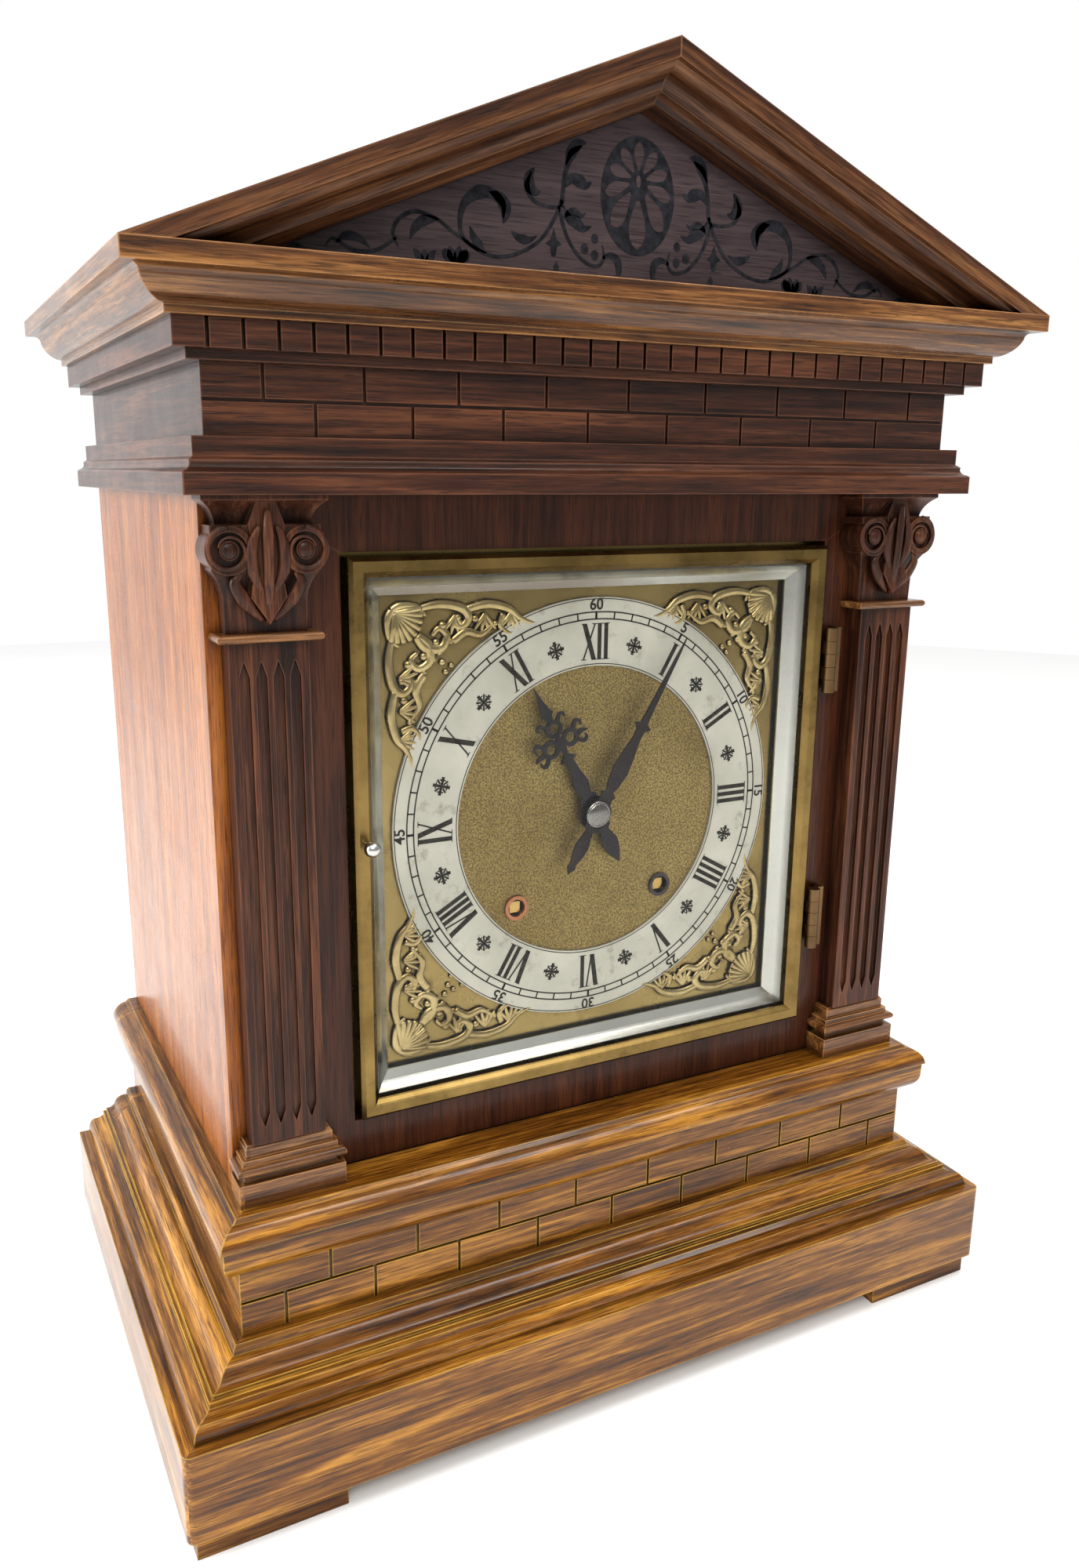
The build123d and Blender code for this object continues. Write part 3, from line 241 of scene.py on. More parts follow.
def wood(name, way, dark, middle, light, gloss=0.3, lightening=0.35, coat=0.08, dirt_and_shade=0.85):
    """Polished wood with long grain, open pores, patches of tone, edges lightened by wear and painted
    highlight, and hollows darkened by dirt and painted shade.
    """
    n = Nodes(name)
    grain = grain_vector(n, way, 0.07)
    broad = grain_vector(n, way, 0.25)
    slow = n.noise(grain, 120.0, 3.0, 0.5, 0.6)
    fine = n.noise(n.scaled(grain, 0.55), 620.0, 5.0, 0.68, 0.3)
    bands = n.math("ADD", n.math("MULTIPLY", slow, 0.45), n.math("MULTIPLY", fine, 0.55))
    colour = n.ramp(bands, [(0.37, dark), (0.5, middle), (0.64, light)])
    patches = n.noise(broad, 14.0, 3.0, 0.5)
    colour = n.mix(n.math("MULTIPLY", patches, 0.45), colour, dark, "MULTIPLY")
    pores = n.noise(n.scaled(grain, 0.5), 2400.0, 2.0, 0.5)
    pore_mask = n.ramp(pores, [(0.55, (0, 0, 0)), (0.64, (1, 1, 1))])
    pore_colour = tuple(c * 0.2 for c in dark)
    colour = n.mix(n.math("MULTIPLY", pore_mask, 0.6), colour, pore_colour)
    # The edges are lightened where the bevel normal bends away, partly as wear and partly as a painted
    # highlight.
    bevel = n.node("ShaderNodeBevel", samples=4)
    bevel.inputs["Radius"].default_value = 0.0007
    flat = n.node("ShaderNodeNewGeometry")
    dot = n.node("ShaderNodeVectorMath", operation="DOT_PRODUCT")
    n.link(bevel.outputs[0], dot.inputs[0])
    n.link(flat.outputs["Normal"], dot.inputs[1])
    edge = n.math("MULTIPLY", n.math("SUBTRACT", 1.0, dot.outputs["Value"]), 6.0)
    edge_breakup = n.noise(n.coords, 60.0, 3.0, 0.6)
    edge = n.math("MULTIPLY", n.math("MINIMUM", edge, 1.0), n.math("MULTIPLY", edge_breakup, lightening * 1.6))
    worn_and_highlit = tuple(min(1.0, c * 2.1 + 0.02) for c in light)
    colour = n.mix(edge, colour, worn_and_highlit)
    # The hollows are darkened, partly as dirt and partly as painted shade.
    colour = hollow_dirt_and_shade(n, colour, tuple(c * 0.16 for c in dark), 0.004, dirt_and_shade)
    scuffs = n.noise(n.coords, 35.0, 5.0, 0.65)
    roughness = n.math("ADD", n.math("MULTIPLY", scuffs, 0.26), gloss - 0.08)
    height = n.math("ADD", n.math("MULTIPLY", pore_mask, -1.0), n.math("MULTIPLY", bands, 0.5))
    normal = n.bump(height, 0.22, 0.0003, bevel.outputs[0])
    return n.set(Base_Color=colour, Roughness=roughness, Normal=normal,
                 Coat_Weight=coat, Coat_Roughness=0.09, Specular_IOR_Level=0.18)


# %% The woods
# Each wood is a dark, a middle and a light tone of the same timber.
UPPER = ((0.012, 0.004, 0.002), (0.060, 0.018, 0.008), (0.160, 0.054, 0.022))
RAKE = ((0.016, 0.006, 0.004), (0.085, 0.030, 0.012), (0.240, 0.100, 0.036))
FRAME = ((0.028, 0.007, 0.003), (0.062, 0.017, 0.006), (0.100, 0.029, 0.010))
MIDDLE = ((0.032, 0.010, 0.003), (0.160, 0.058, 0.015), (0.460, 0.210, 0.062))
SIDE = ((0.150, 0.036, 0.004), (0.330, 0.095, 0.011), (0.520, 0.185, 0.024))
BASE = ((0.036, 0.010, 0.001), (0.205, 0.070, 0.006), (0.640, 0.285, 0.034))
DEAL = ((0.16, 0.09, 0.04), (0.34, 0.21, 0.11), (0.50, 0.34, 0.19))
PANEL_WOOD = ((0.052, 0.034, 0.038), (0.080, 0.054, 0.058), (0.115, 0.078, 0.080))
# In every wood the lighter edges are partly wear and partly painted highlight, and the dark hollows partly
# dirt and partly painted shade.
woods = {
    "upper_rail": wood("walnut_upper_rail", "mitre", *UPPER, gloss=0.28, lightening=0.6, coat=0.3),
    "upper_z": wood("walnut_upper_z", "z", *UPPER, gloss=0.30, lightening=0.5),
    "surround": wood("walnut_surround", "z", *FRAME, gloss=0.28, lightening=0.4),
    "side_z": wood("walnut_side_z", "z", *SIDE, gloss=0.20, lightening=0.2, coat=0.22),
    "cornice": wood("walnut_cornice", "mitre", *MIDDLE, gloss=0.24, lightening=0.6, coat=0.5),
    "rake": wood("walnut_rake", "rake", *RAKE, gloss=0.30, lightening=0.5),
    "base_rail": wood("walnut_base_rail", "mitre", *BASE, gloss=0.19, lightening=0.75, coat=0.4),
    "base_x": wood("walnut_base_x", "x", *BASE, gloss=0.26, lightening=0.5),
    "roof": wood("walnut_roof", "y", *MIDDLE, gloss=0.4, lightening=0.2),
    "deal": wood("carcass_pine", "x", *DEAL, gloss=0.62, lightening=0.1, coat=0.0),
}
woods["tympanum"] = wood("walnut_tympanum", "x", *PANEL_WOOD, gloss=0.42, lightening=0.1, coat=0.05, dirt_and_shade=0.5)
print("woods", len(woods))

# %% [markdown]
# ## Metals
# The door and the dial are old brass that has gone cloudy and brown in its corners, the ring is brass
# with a thin silvering, and the hands are blued steel that looks black. The brown of the corners, like
# the darkening in the hollows of every metal, is partly patina and partly painted shade. One function
# makes them all, because they differ only in colour, polish, stain and grit. A grommet on the right is
# darker than the one on the left, and as both are one mesh, the colour changes where x passes zero.

# %% Metal finish
def metal(name, low, high, rough=0.22, stain=0.35, stain_colour=(0.12, 0.07, 0.03), speck=0.0, scale=30.0,
          metallic=1.0, dirt_and_shade=0.6, right_tint=None):
    """Old metal with cloudy tarnish and fine scratches."""
    n = Nodes(name)
    clouds = n.noise(n.coords, scale, 6.0, 0.6)
    colour = n.ramp(clouds, [(0.3, low), (0.65, high)])
    marks = n.noise(n.coords, scale * 3.7, 5.0, 0.7)
    mask = n.ramp(marks, [(0.57, (0, 0, 0)), (0.74, (1, 1, 1))])
    colour = n.mix(n.math("MULTIPLY", mask, stain), colour, stain_colour)
    # The hollows are darkened, partly as brown patina and partly as painted shade.
    colour = hollow_dirt_and_shade(n, colour, tuple(c * 0.3 for c in stain_colour), 0.0025, dirt_and_shade)
    if right_tint:
        split = n.node("ShaderNodeSeparateXYZ")
        n.link(n.coords, split.inputs[0])
        colour = n.mix(n.math("GREATER_THAN", split.outputs[0], 0.0), colour, right_tint)
    fine = n.noise(n.coords, 2600.0 if speck else 1400.0, 2.0, 0.5)
    if speck:
        grit = n.ramp(n.noise(n.coords, 1500.0, 3.0, 0.6), [(0.44, (1, 1, 1)), (0.56, (0, 0, 0))])
        colour = n.mix(n.math("MULTIPLY", grit, 0.75), colour, stain_colour)
    roughness = n.math("ADD", n.math("MULTIPLY", clouds, 0.2), rough)
    normal = n.bump(fine, 0.05 + speck, 0.0003 if speck else 0.00005)
    return n.set(Base_Color=colour, Roughness=roughness, Normal=normal, Metallic=metallic)


# %% The metals
brass = metal("old_brass", (0.40, 0.24, 0.06), (0.68, 0.47, 0.16), 0.14, 0.4)
door_brass = metal("door_brass", (0.11, 0.07, 0.022), (0.25, 0.165, 0.055), 0.18, 0.5,
                   (0.05, 0.03, 0.015), scale=45.0)
# The dial plate and the castings are darkened most in their hollows, partly as patina and partly as painted
# shade.
plate_brass = metal("dial_plate_brass", (0.20, 0.135, 0.042), (0.42, 0.31, 0.115), 0.17, 0.55,
                    (0.06, 0.04, 0.02), scale=16.0, dirt_and_shade=0.9)
gilt = metal("matted_gilt", (0.32, 0.235, 0.075), (0.50, 0.39, 0.145), 0.40, 0.35, speck=0.5, scale=24.0)
cast_gilt = metal("cast_gilt", (0.30, 0.21, 0.08), (0.62, 0.49, 0.23), 0.16, 0.25, scale=60.0, dirt_and_shade=0.95)
silvered = metal("silvered_ring", (0.48, 0.47, 0.38), (0.70, 0.68, 0.57), 0.34, 0.6,
                 (0.16, 0.13, 0.08), scale=34.0, metallic=0.35)
sight_metal = metal("sight_silvering", (0.50, 0.50, 0.45), (0.68, 0.68, 0.61), 0.12, 0.15,
                    (0.25, 0.22, 0.15), scale=8.0)
knob_metal = metal("knob_silver", (0.45, 0.44, 0.42), (0.65, 0.64, 0.60), 0.12, 0.3)
bronze = metal("hinge_bronze", (0.09, 0.05, 0.022), (0.20, 0.12, 0.055), 0.25, 0.4)
steel = metal("grey_steel", (0.30, 0.30, 0.31), (0.52, 0.52, 0.53), 0.26, 0.2, (0.15, 0.08, 0.04))
copper = metal("copper_grommet", (0.36, 0.13, 0.06), (0.55, 0.24, 0.12), 0.28, 0.3,
               right_tint=(0.07, 0.06, 0.06))
black_steel = metal("blued_steel", (0.012, 0.010, 0.012), (0.035, 0.026, 0.028), 0.24, 0.1,
                    (0.05, 0.03, 0.02), metallic=0.6)
print("metals made")

# %% [markdown]
# ## Wax and glass
# Engraved figures are filled with black wax, which hardly shines, so its reflection is turned far
# down. The door's pane could be true refracting glass, but then little light would reach the dial.
# A nearly clear surface with a soft reflection keeps the dial bright and still reads as glass.

# %% Wax and glass
def wax(name, colour, rough):
    """Black filling wax, slightly worn."""
    n = Nodes(name)
    lightening = n.noise(n.coords, 420.0, 4.0, 0.6)
    shade = n.ramp(lightening, [(0.35, colour), (0.7, tuple(c * 2.2 + 0.01 for c in colour))])
    return n.set(Base_Color=shade, Roughness=rough, Specular_IOR_Level=0.06)


ink = wax("engraving_wax", (0.018, 0.015, 0.012), 0.5)
inlay = wax("cut_pattern_black", (0.010, 0.010, 0.013), 0.55)


def make_glass():
    """Clear old glass that lets the light through and keeps a soft reflection."""
    n = Nodes("bevelled_glass")
    waves = n.noise(n.coords, 9.0, 2.0, 0.4)
    normal = n.bump(waves, 0.05, 0.0008)
    n.material.surface_render_method = "BLENDED"
    return n.set(Base_Color=(0.04, 0.045, 0.045), Roughness=0.02, Alpha=0.10, IOR=1.5, Normal=normal)


glass = make_glass()
print("wax and glass made")

# %% [markdown]
# ## Dressing the solids
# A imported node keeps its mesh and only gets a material. The light golden boards stand below, the dark
# ones above, as on the real case, and the parts that a clockmaker wouldn't polish stay plain pine.

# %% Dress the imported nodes
dress = {
    "feet": "base_x", "plinth": "base_rail", "base_moulding": "base_rail", "lower_frieze": "base_rail",
    "shelf_moulding": "base_rail", "side_panel_left": "side_z", "side_panel_right": "side_z",
    "surround": "surround", "pilaster_bases": "cornice", "pilaster_shafts": "upper_z",
    "astragals": "cornice", "capitals": "upper_z", "architrave": "upper_rail", "upper_frieze": "upper_rail",
    "bed_moulding": "upper_rail", "dentil_strip": "upper_rail", "cornice": "cornice",
    "raking_cornice": "rake", "tympanum": "tympanum", "roof_boards": "roof", "back_rails": "deal",
    "base_board": "deal", "back_frame": "deal", "top_board": "deal", "back_gable": "deal",
    "seat_board": "deal", "seat_rails": "deal", "gong_block": "deal", "back_door": "deal"}
fittings = {
    "door_frame": door_brass, "door_glass": glass, "sight_frame": sight_metal, "door_knob": knob_metal,
    "door_hinge_knuckles": bronze, "case_hinge_leaves": bronze, "dial_plate": plate_brass,
    "chapter_ring": silvered, "dial_centre": gilt, "winding_grommets": copper, "spandrels": cast_gilt,
    "dial_feet": brass, "minute_hand": black_steel, "hour_hand": black_steel, "hand_nut": brass,
    "cannon_arbor": steel, "hour_wheel": brass, "minute_wheel": brass, "movement_front_plate": brass,
    "movement_back_plate": brass, "movement_pillars": brass, "strike_barrel": brass, "going_barrel": brass,
    "back_cock": brass, "pendulum_rod": steel, "pendulum_bob": brass, "gong": steel, "hammer": steel,
    "back_hinges": bronze, "back_knob": brass}
for name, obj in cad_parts.items():
    material = woods[dress[name]] if name in dress else fittings[name]
    obj.data.materials.clear()
    obj.data.materials.append(material)
print("dressed", len(dress) + len(fittings), "nodes")

# %% [markdown]
# ## Shapes
# Flat ornaments, such as a cut leaf or a hand, are closed outlines with a little thickness. Scrolls
# and stems are strips and tubes that swell and taper along a smooth line through a few points. Curve
# objects with a bevel could make them too. Plain vertices and faces are used here, because dozens of
# small forms then go into one mesh, and each form is closed from the start.

# %% Smooth lines
def smooth_line(points, steps=6):
    """Points along a smooth line through the given points."""
    pts = [Vector(p) for p in points]
    out = []
    for i in range(len(pts) - 1):
        a = pts[max(i - 1, 0)]
        b = pts[i]
        c = pts[i + 1]
        d = pts[min(i + 2, len(pts) - 1)]
        for k in range(steps):
            t = k / steps
            out.append(0.5 * ((2 * b) + (c - a) * t + (2 * a - 5 * b + 4 * c - d) * t * t
                              + (3 * b - 3 * c + d - a) * t * t * t))
    out.append(pts[-1])
    return out


def spread(values, count):
    """Evenly resampled numbers along a list."""
    last = len(values) - 1
    out = []
    for k in range(count):
        t = k / (count - 1) * last
        i = min(int(t), last - 1)
        out.append(values[i] + (values[i + 1] - values[i]) * (t - i))
    return out


# %% Adding a piece
def add_piece(name, mesh, material, body, weld=False):
    """Turns a mesh's faces outwards and adds it as a piece that rides on a body."""
    bm = bmesh.new()
    bm.from_mesh(mesh)
    if weld:
        bmesh.ops.remove_doubles(bm, verts=bm.verts, dist=1e-7)
    bmesh.ops.recalc_face_normals(bm, faces=bm.faces)
    bm.to_mesh(mesh)
    bm.free()
    obj = bpy.data.objects.new(name, mesh)
    bpy.context.collection.objects.link(obj)
    mesh.materials.clear()
    mesh.materials.append(material)
    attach(obj, body)
    return obj


# %% Plates, strips, tubes, domes and rings
class Batch:
    """Gathers many small closed forms into one mesh."""

    def __init__(self):
        self.verts = []
        self.faces = []

    def add(self, verts, faces):
        base = len(self.verts)
        self.verts += [tuple(v) for v in verts]
        self.faces += [[base + i for i in f] for f in faces]

    def plate(self, outline, y0, y1):
        """A flat closed outline in width and height, from depth y0 to y1."""
        n = len(outline)
        front = [(x, y0, z) for x, z in outline]
        back = [(x, y1, z) for x, z in outline]
        faces = [list(range(n)), list(range(2 * n - 1, n - 1, -1))]
        faces += [[i, n + i, n + (i + 1) % n, (i + 1) % n] for i in range(n)]
        self.add(front + back, faces)

    def ribbon(self, points, widths, y0, y1, steps=6):
        """A flat strip along a smooth line, with a width at each of its points."""
        line = smooth_line([(p[0], p[1], 0) for p in points], steps)
        wide = spread(widths, len(line))
        left = []
        right = []
        for i, p in enumerate(line):
            way = (line[min(i + 1, len(line) - 1)] - line[max(i - 1, 0)]).normalized()
            side = Vector((-way.y, way.x, 0)) * max(wide[i], 0.05) / 2
            left.append((p.x + side.x, p.y + side.y))
            right.append((p.x - side.x, p.y - side.y))
        count = len(line)
        verts = []
        for y in (y0, y1):
            verts += [(x, y, z) for x, z in left] + [(x, y, z) for x, z in right]
        faces = []
        for i in range(count - 1):
            faces.append([i, i + 1, count + i + 1, count + i])
            faces.append([2 * count + i, 3 * count + i, 3 * count + i + 1, 2 * count + i + 1])
            faces.append([i, 2 * count + i, 2 * count + i + 1, i + 1])
            faces.append([count + i, count + i + 1, 3 * count + i + 1, 3 * count + i])
        faces.append([0, count, 3 * count, 2 * count])
        end = count - 1
        faces.append([end, 2 * count + end, 3 * count + end, count + end])
        self.add(verts, faces)

    def tube(self, points, radii, sides=8, flat=1.0, steps=5):
        """A round or flattened tube along a smooth line in space."""
        line = smooth_line(points, steps)
        thick = spread(radii, len(line))
        verts = []
        normal = Vector((0, -1, 0))
        for i, p in enumerate(line):
            way = (line[min(i + 1, len(line) - 1)] - line[max(i - 1, 0)]).normalized()
            across = way.cross(normal).normalized()
            out = across.cross(way).normalized()
            for k in range(sides):
                a = 2 * math.pi * k / sides
                verts.append(p + across * thick[i] * math.cos(a) + out * thick[i] * flat * math.sin(a))
        faces = []
        for i in range(len(line) - 1):
            for k in range(sides):
                n = (k + 1) % sides
                faces.append([i * sides + k, i * sides + n, (i + 1) * sides + n, (i + 1) * sides + k])
        faces.append(list(range(sides)))
        faces.append([(len(line) - 1) * sides + k for k in reversed(range(sides))])
        self.add(verts, faces)

    def dome(self, x, y, z, r, high, rings, sides):
        """A low dome standing towards the front."""
        verts = []
        for i in range(rings):
            a = i / rings * math.pi / 2
            for k in range(sides):
                t = 2 * math.pi * k / sides
                verts.append((x + r * math.cos(a) * math.cos(t), y - high * math.sin(a),
                              z + r * math.cos(a) * math.sin(t)))
        verts.append((x, y - high, z))
        top = len(verts) - 1
        faces = [list(range(sides))]
        for i in range(rings - 1):
            for k in range(sides):
                n = (k + 1) % sides
                faces.append([i * sides + k, i * sides + n, (i + 1) * sides + n, (i + 1) * sides + k])
        for k in range(sides):
            faces.append([(rings - 1) * sides + k, (rings - 1) * sides + (k + 1) % sides, top])
        self.add(verts, faces)

    def annulus(self, x, z, r0, r1, y0, y1, sides):
        """A flat ring."""
        verts = []
        for y in (y0, y1):
            for r in (r0, r1):
                for k in range(sides):
                    a = 2 * math.pi * k / sides
                    verts.append((x + r * math.sin(a), y, z + r * math.cos(a)))
        faces = []
        for k in range(sides):
            n = (k + 1) % sides
            faces.append([k, n, sides + n, sides + k])
            faces.append([2 * sides + k, 3 * sides + k, 3 * sides + n, 2 * sides + n])
            faces.append([k, 2 * sides + k, 2 * sides + n, n])
            faces.append([sides + k, sides + n, 3 * sides + n, 3 * sides + k])
        self.add(verts, faces)

    def mirrored(self):
        """Adds the same forms on the other side of the clock's middle."""
        base = len(self.verts)
        self.verts += [(-x, y, z) for x, y, z in self.verts[:base]]
        self.faces += [[base + i for i in reversed(f)] for f in self.faces[:]]

    def mesh(self, name, smooth=False):
        """The gathered forms as one mesh in metres."""
        mesh = bpy.data.meshes.new(name)
        mesh.from_pydata([Vector(v) * MM for v in self.verts], [], self.faces)
        for poly in mesh.polygons:
            poly.use_smooth = smooth
        return mesh

    def piece(self, name, material, body, smooth=False):
        return add_piece(name, self.mesh(name, smooth), material, body, weld=True)


# %% [markdown]
# ## Chapter ring
# The real ring is engraved: two fine circles with a stroke for every minute, radial Roman hours inside
# them, small figures for every fifth minute outside, and a cross at each half hour. Cutting grooves
# into the ring would cost many faces, so the wax stands as thin letters just proud of the metal.

# %% Places on the dial
ring_low, ring_high = packed_box("chapter_ring")
DIAL_Z = round((ring_low[2] + ring_high[2]) / 2, 1)
RING_R = ring_high[0]
ring_verts = [v.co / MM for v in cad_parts["chapter_ring"].data.vertices]
RING_INNER = round(min(math.hypot(v.x, v.z - DIAL_Z) for v in ring_verts), 1)
MARK_T = 0.08
MARK_Y0 = ring_low[1] - MARK_T
MARK_Y1 = ring_low[1] + 0.05
print("dial centre", DIAL_Z, "ring", RING_INNER, "to", RING_R)


def disc_points(x, z, rx, rz, count):
    """An oval outline."""
    turns = [2 * math.pi * k / count for k in range(count)]
    return [(x + rx * math.cos(a), z + rz * math.sin(a)) for a in turns]


def turned(points, angle, cx=0.0, cz=DIAL_Z):
    """Points given as side and reach, turned clockwise by degrees about a centre."""
    a = math.radians(angle)
    return [(cx + s * math.cos(a) + t * math.sin(a), cz - s * math.sin(a) + t * math.cos(a))
            for s, t in points]


# %% [markdown]
# ## Marks by geometry nodes
# What repeats round a circle suits geometry nodes: points are set out by count and radius, one mark is
# copied onto each, and its turn follows the point's number. Count, radius and first angle are named
# inputs of the tree. The copies are made real at the end, because an export keeps only real faces.

# %% A ring of equal marks
def ring_marks(name, mark, count, radius, first_angle, material):
    """Copies of one mark set round the dial by geometry nodes, then kept as a plain mesh."""
    tree = bpy.data.node_groups.new(name, "GeometryNodeTree")
    face = tree.interface
    face.new_socket("Geometry", in_out="INPUT", socket_type="NodeSocketGeometry")
    counter = face.new_socket("Count", in_out="INPUT", socket_type="NodeSocketInt")
    distance = face.new_socket("Radius", in_out="INPUT", socket_type="NodeSocketFloat")
    start = face.new_socket("Start", in_out="INPUT", socket_type="NodeSocketFloat")
    face.new_socket("Geometry", in_out="OUTPUT", socket_type="NodeSocketGeometry")
    source = tree.nodes.new("NodeGroupInput")
    result = tree.nodes.new("NodeGroupOutput")
    points = tree.nodes.new("GeometryNodePoints")
    index = tree.nodes.new("GeometryNodeInputIndex")
    step = tree.nodes.new("ShaderNodeMath")
    step.operation = "DIVIDE"
    step.inputs[0].default_value = 2 * math.pi
    angle = tree.nodes.new("ShaderNodeMath")
    angle.operation = "MULTIPLY_ADD"
    turn = tree.nodes.new("ShaderNodeCombineXYZ")
    place = tree.nodes.new("ShaderNodeCombineXYZ")
    spin = tree.nodes.new("ShaderNodeVectorRotate")
    spin.rotation_type = "Y_AXIS"
    copies = tree.nodes.new("GeometryNodeInstanceOnPoints")
    real = tree.nodes.new("GeometryNodeRealizeInstances")
    paint = tree.nodes.new("GeometryNodeSetMaterial")
    paint.inputs["Material"].default_value = material
    link = tree.links.new
    link(source.outputs["Count"], points.inputs["Count"])
    link(source.outputs["Count"], step.inputs[1])
    link(index.outputs[0], angle.inputs[0])
    link(step.outputs[0], angle.inputs[1])
    link(source.outputs["Start"], angle.inputs[2])
    link(source.outputs["Radius"], place.inputs[2])
    link(place.outputs[0], spin.inputs["Vector"])
    link(angle.outputs[0], spin.inputs["Angle"])
    link(spin.outputs[0], points.inputs["Position"])
    link(angle.outputs[0], turn.inputs[1])
    link(points.outputs[0], copies.inputs["Points"])
    link(source.outputs["Geometry"], copies.inputs["Instance"])
    link(turn.outputs[0], copies.inputs["Rotation"])
    link(copies.outputs[0], real.inputs[0])
    link(real.outputs[0], paint.inputs["Geometry"])
    link(paint.outputs[0], result.inputs[0])
    holder = bpy.data.objects.new(name + "_holder", mark.mesh(name + "_mark"))
    bpy.context.collection.objects.link(holder)
    modifier = holder.modifiers.new("ring", "NODES")
    modifier.node_group = tree
    modifier[counter.identifier] = count
    modifier[distance.identifier] = radius * MM
    modifier[start.identifier] = first_angle
    bpy.context.view_layer.update()
    seen = holder.evaluated_get(bpy.context.evaluated_depsgraph_get())
    made = bpy.data.meshes.new_from_object(seen)
    bpy.data.objects.remove(holder)
    made.transform(Matrix.Translation((0, 0, DIAL_Z * MM)))
    return made


# %% Minute and hour divisions
TRACK_R = 72.3
TRACK_HALF = 1.25


def division(half_width, half_length):
    """One upright stroke of the minute track."""
    mark = Batch()
    mark.plate([(-half_width, -half_length), (half_width, -half_length),
                (half_width, half_length), (-half_width, half_length)], MARK_Y0, MARK_Y1)
    return mark


minutes = ring_marks("minute_divisions", division(0.27, 1.35), 60, TRACK_R, 0.0, ink)
add_piece("minute_divisions", minutes, ink, "case")
fifths = ring_marks("hour_divisions", division(0.42, 1.5), 12, TRACK_R, 0.0, ink)
add_piece("hour_divisions", fifths, ink, "case")
print("divisions", len(minutes.polygons) + len(fifths.polygons), "faces")

# %% Half-hour crosses
CROSS_R = 62.6
cross = Batch()
for arm in range(8):
    long_arm = arm % 2 == 0
    reach, inner, half = (3.3, 0.0, 0.40) if long_arm else (2.9, 0.9, 0.26)
    stroke = [(-half, inner), (half, inner), (half * 1.5, reach), (-half * 1.5, reach)]
    cross.plate(turned(stroke, 45 * arm, 0, 0), MARK_Y0, MARK_Y1)
    if long_arm:
        bar = [(-1.2, 1.9), (1.2, 1.9), (1.2, 2.35), (-1.2, 2.35)]
        cross.plate(turned(bar, 45 * arm, 0, 0), MARK_Y0, MARK_Y1)
half_hours = ring_marks("half_hours", cross, 12, CROSS_R, math.pi / 12, ink)
add_piece("half_hour_crosses", half_hours, ink, "case")
print("crosses", len(half_hours.polygons), "faces")

# %% Circles of the ring
circles = Batch()
for radius in (TRACK_R - TRACK_HALF, TRACK_R + TRACK_HALF):
    circles.annulus(0, DIAL_Z, radius - 0.24, radius + 0.24, MARK_Y0, MARK_Y1, 180)
circles.annulus(0, DIAL_Z, RING_R - 0.75, RING_R - 0.45, MARK_Y0, MARK_Y1, 180)
circles.annulus(0, DIAL_Z, RING_INNER + 0.5, RING_INNER + 0.8, MARK_Y0, MARK_Y1, 150)
circles.piece("track_circles", ink, "case")
print("circles", len(circles.faces), "faces")

# %% [markdown]
# ## Roman hours
# The hours stand with their feet to the centre, drawn wide and heavy with hair-thin serifs. A font
# could set them, but few fonts stretch like an engraver's numerals. Each letter is a thick stroke, a
# thin stroke and serifs, and a long number is squeezed to fit its twelfth of the ring.

# %% Roman hours
NUMERAL_LOW = 56.6
NUMERAL_HIGH = 69.4


def roman_strokes(text):
    """Strokes of a Roman number as outlines in side and reach from the dial centre."""
    widths = {"I": 2.7, "V": 5.6, "X": 5.8}
    total = sum(widths[c] for c in text)
    squeeze = min(1.0, 12.4 / total)
    at = -total * squeeze / 2
    low = NUMERAL_LOW
    high = NUMERAL_HIGH
    strokes = []

    def bar(x0, x1, thick):
        half = thick / 2
        strokes.append([(x0 - half, low), (x0 + half, low), (x1 + half, high), (x1 - half, high)])

    def serif(x0, x1, z):
        strokes.append([(x0, z - 0.14), (x1, z - 0.14), (x1, z + 0.14), (x0, z + 0.14)])

    for letter in text:
        wide = widths[letter] * squeeze
        mid = at + wide / 2
        if letter == "I":
            bar(mid, mid, 1.6)
            serif(mid - wide / 2 - 0.1, mid + wide / 2 + 0.1, low)
            serif(mid - wide / 2 - 0.1, mid + wide / 2 + 0.1, high)
        elif letter == "V":
            bar(mid, at + 0.9, 1.9)
            bar(mid + 0.2, at + wide - 0.6, 0.6)
            serif(at - 0.3, at + 1.9, high)
            serif(at + wide - 1.6, at + wide + 0.3, high)
        else:
            bar(at + wide - 0.9, at + 0.9, 1.9)
            bar(at + 0.6, at + wide - 0.6, 0.6)
            for z in (low, high):
                serif(at - 0.3, at + 1.8, z)
                serif(at + wide - 1.8, at + wide + 0.3, z)
        at += wide
    return strokes


hours = Batch()
HOURS = ("XII", "I", "II", "III", "IIII", "V", "VI", "VII", "VIII", "IX", "X", "XI")
for number, text in enumerate(HOURS):
    for stroke in roman_strokes(text):
        hours.plate(turned(stroke, 30 * number), MARK_Y0, MARK_Y1)
hours.piece("roman_hours", ink, "case")
print("hours", len(hours.faces), "faces")

# %% [markdown]
# ## Minute figures
# The small figures are plain enough for the font that comes with Blender. Text is turned into a mesh
# first and only then stood up, pushed out to its radius and turned round the dial, so that the
# finished object sits unturned at the origin like every other piece.

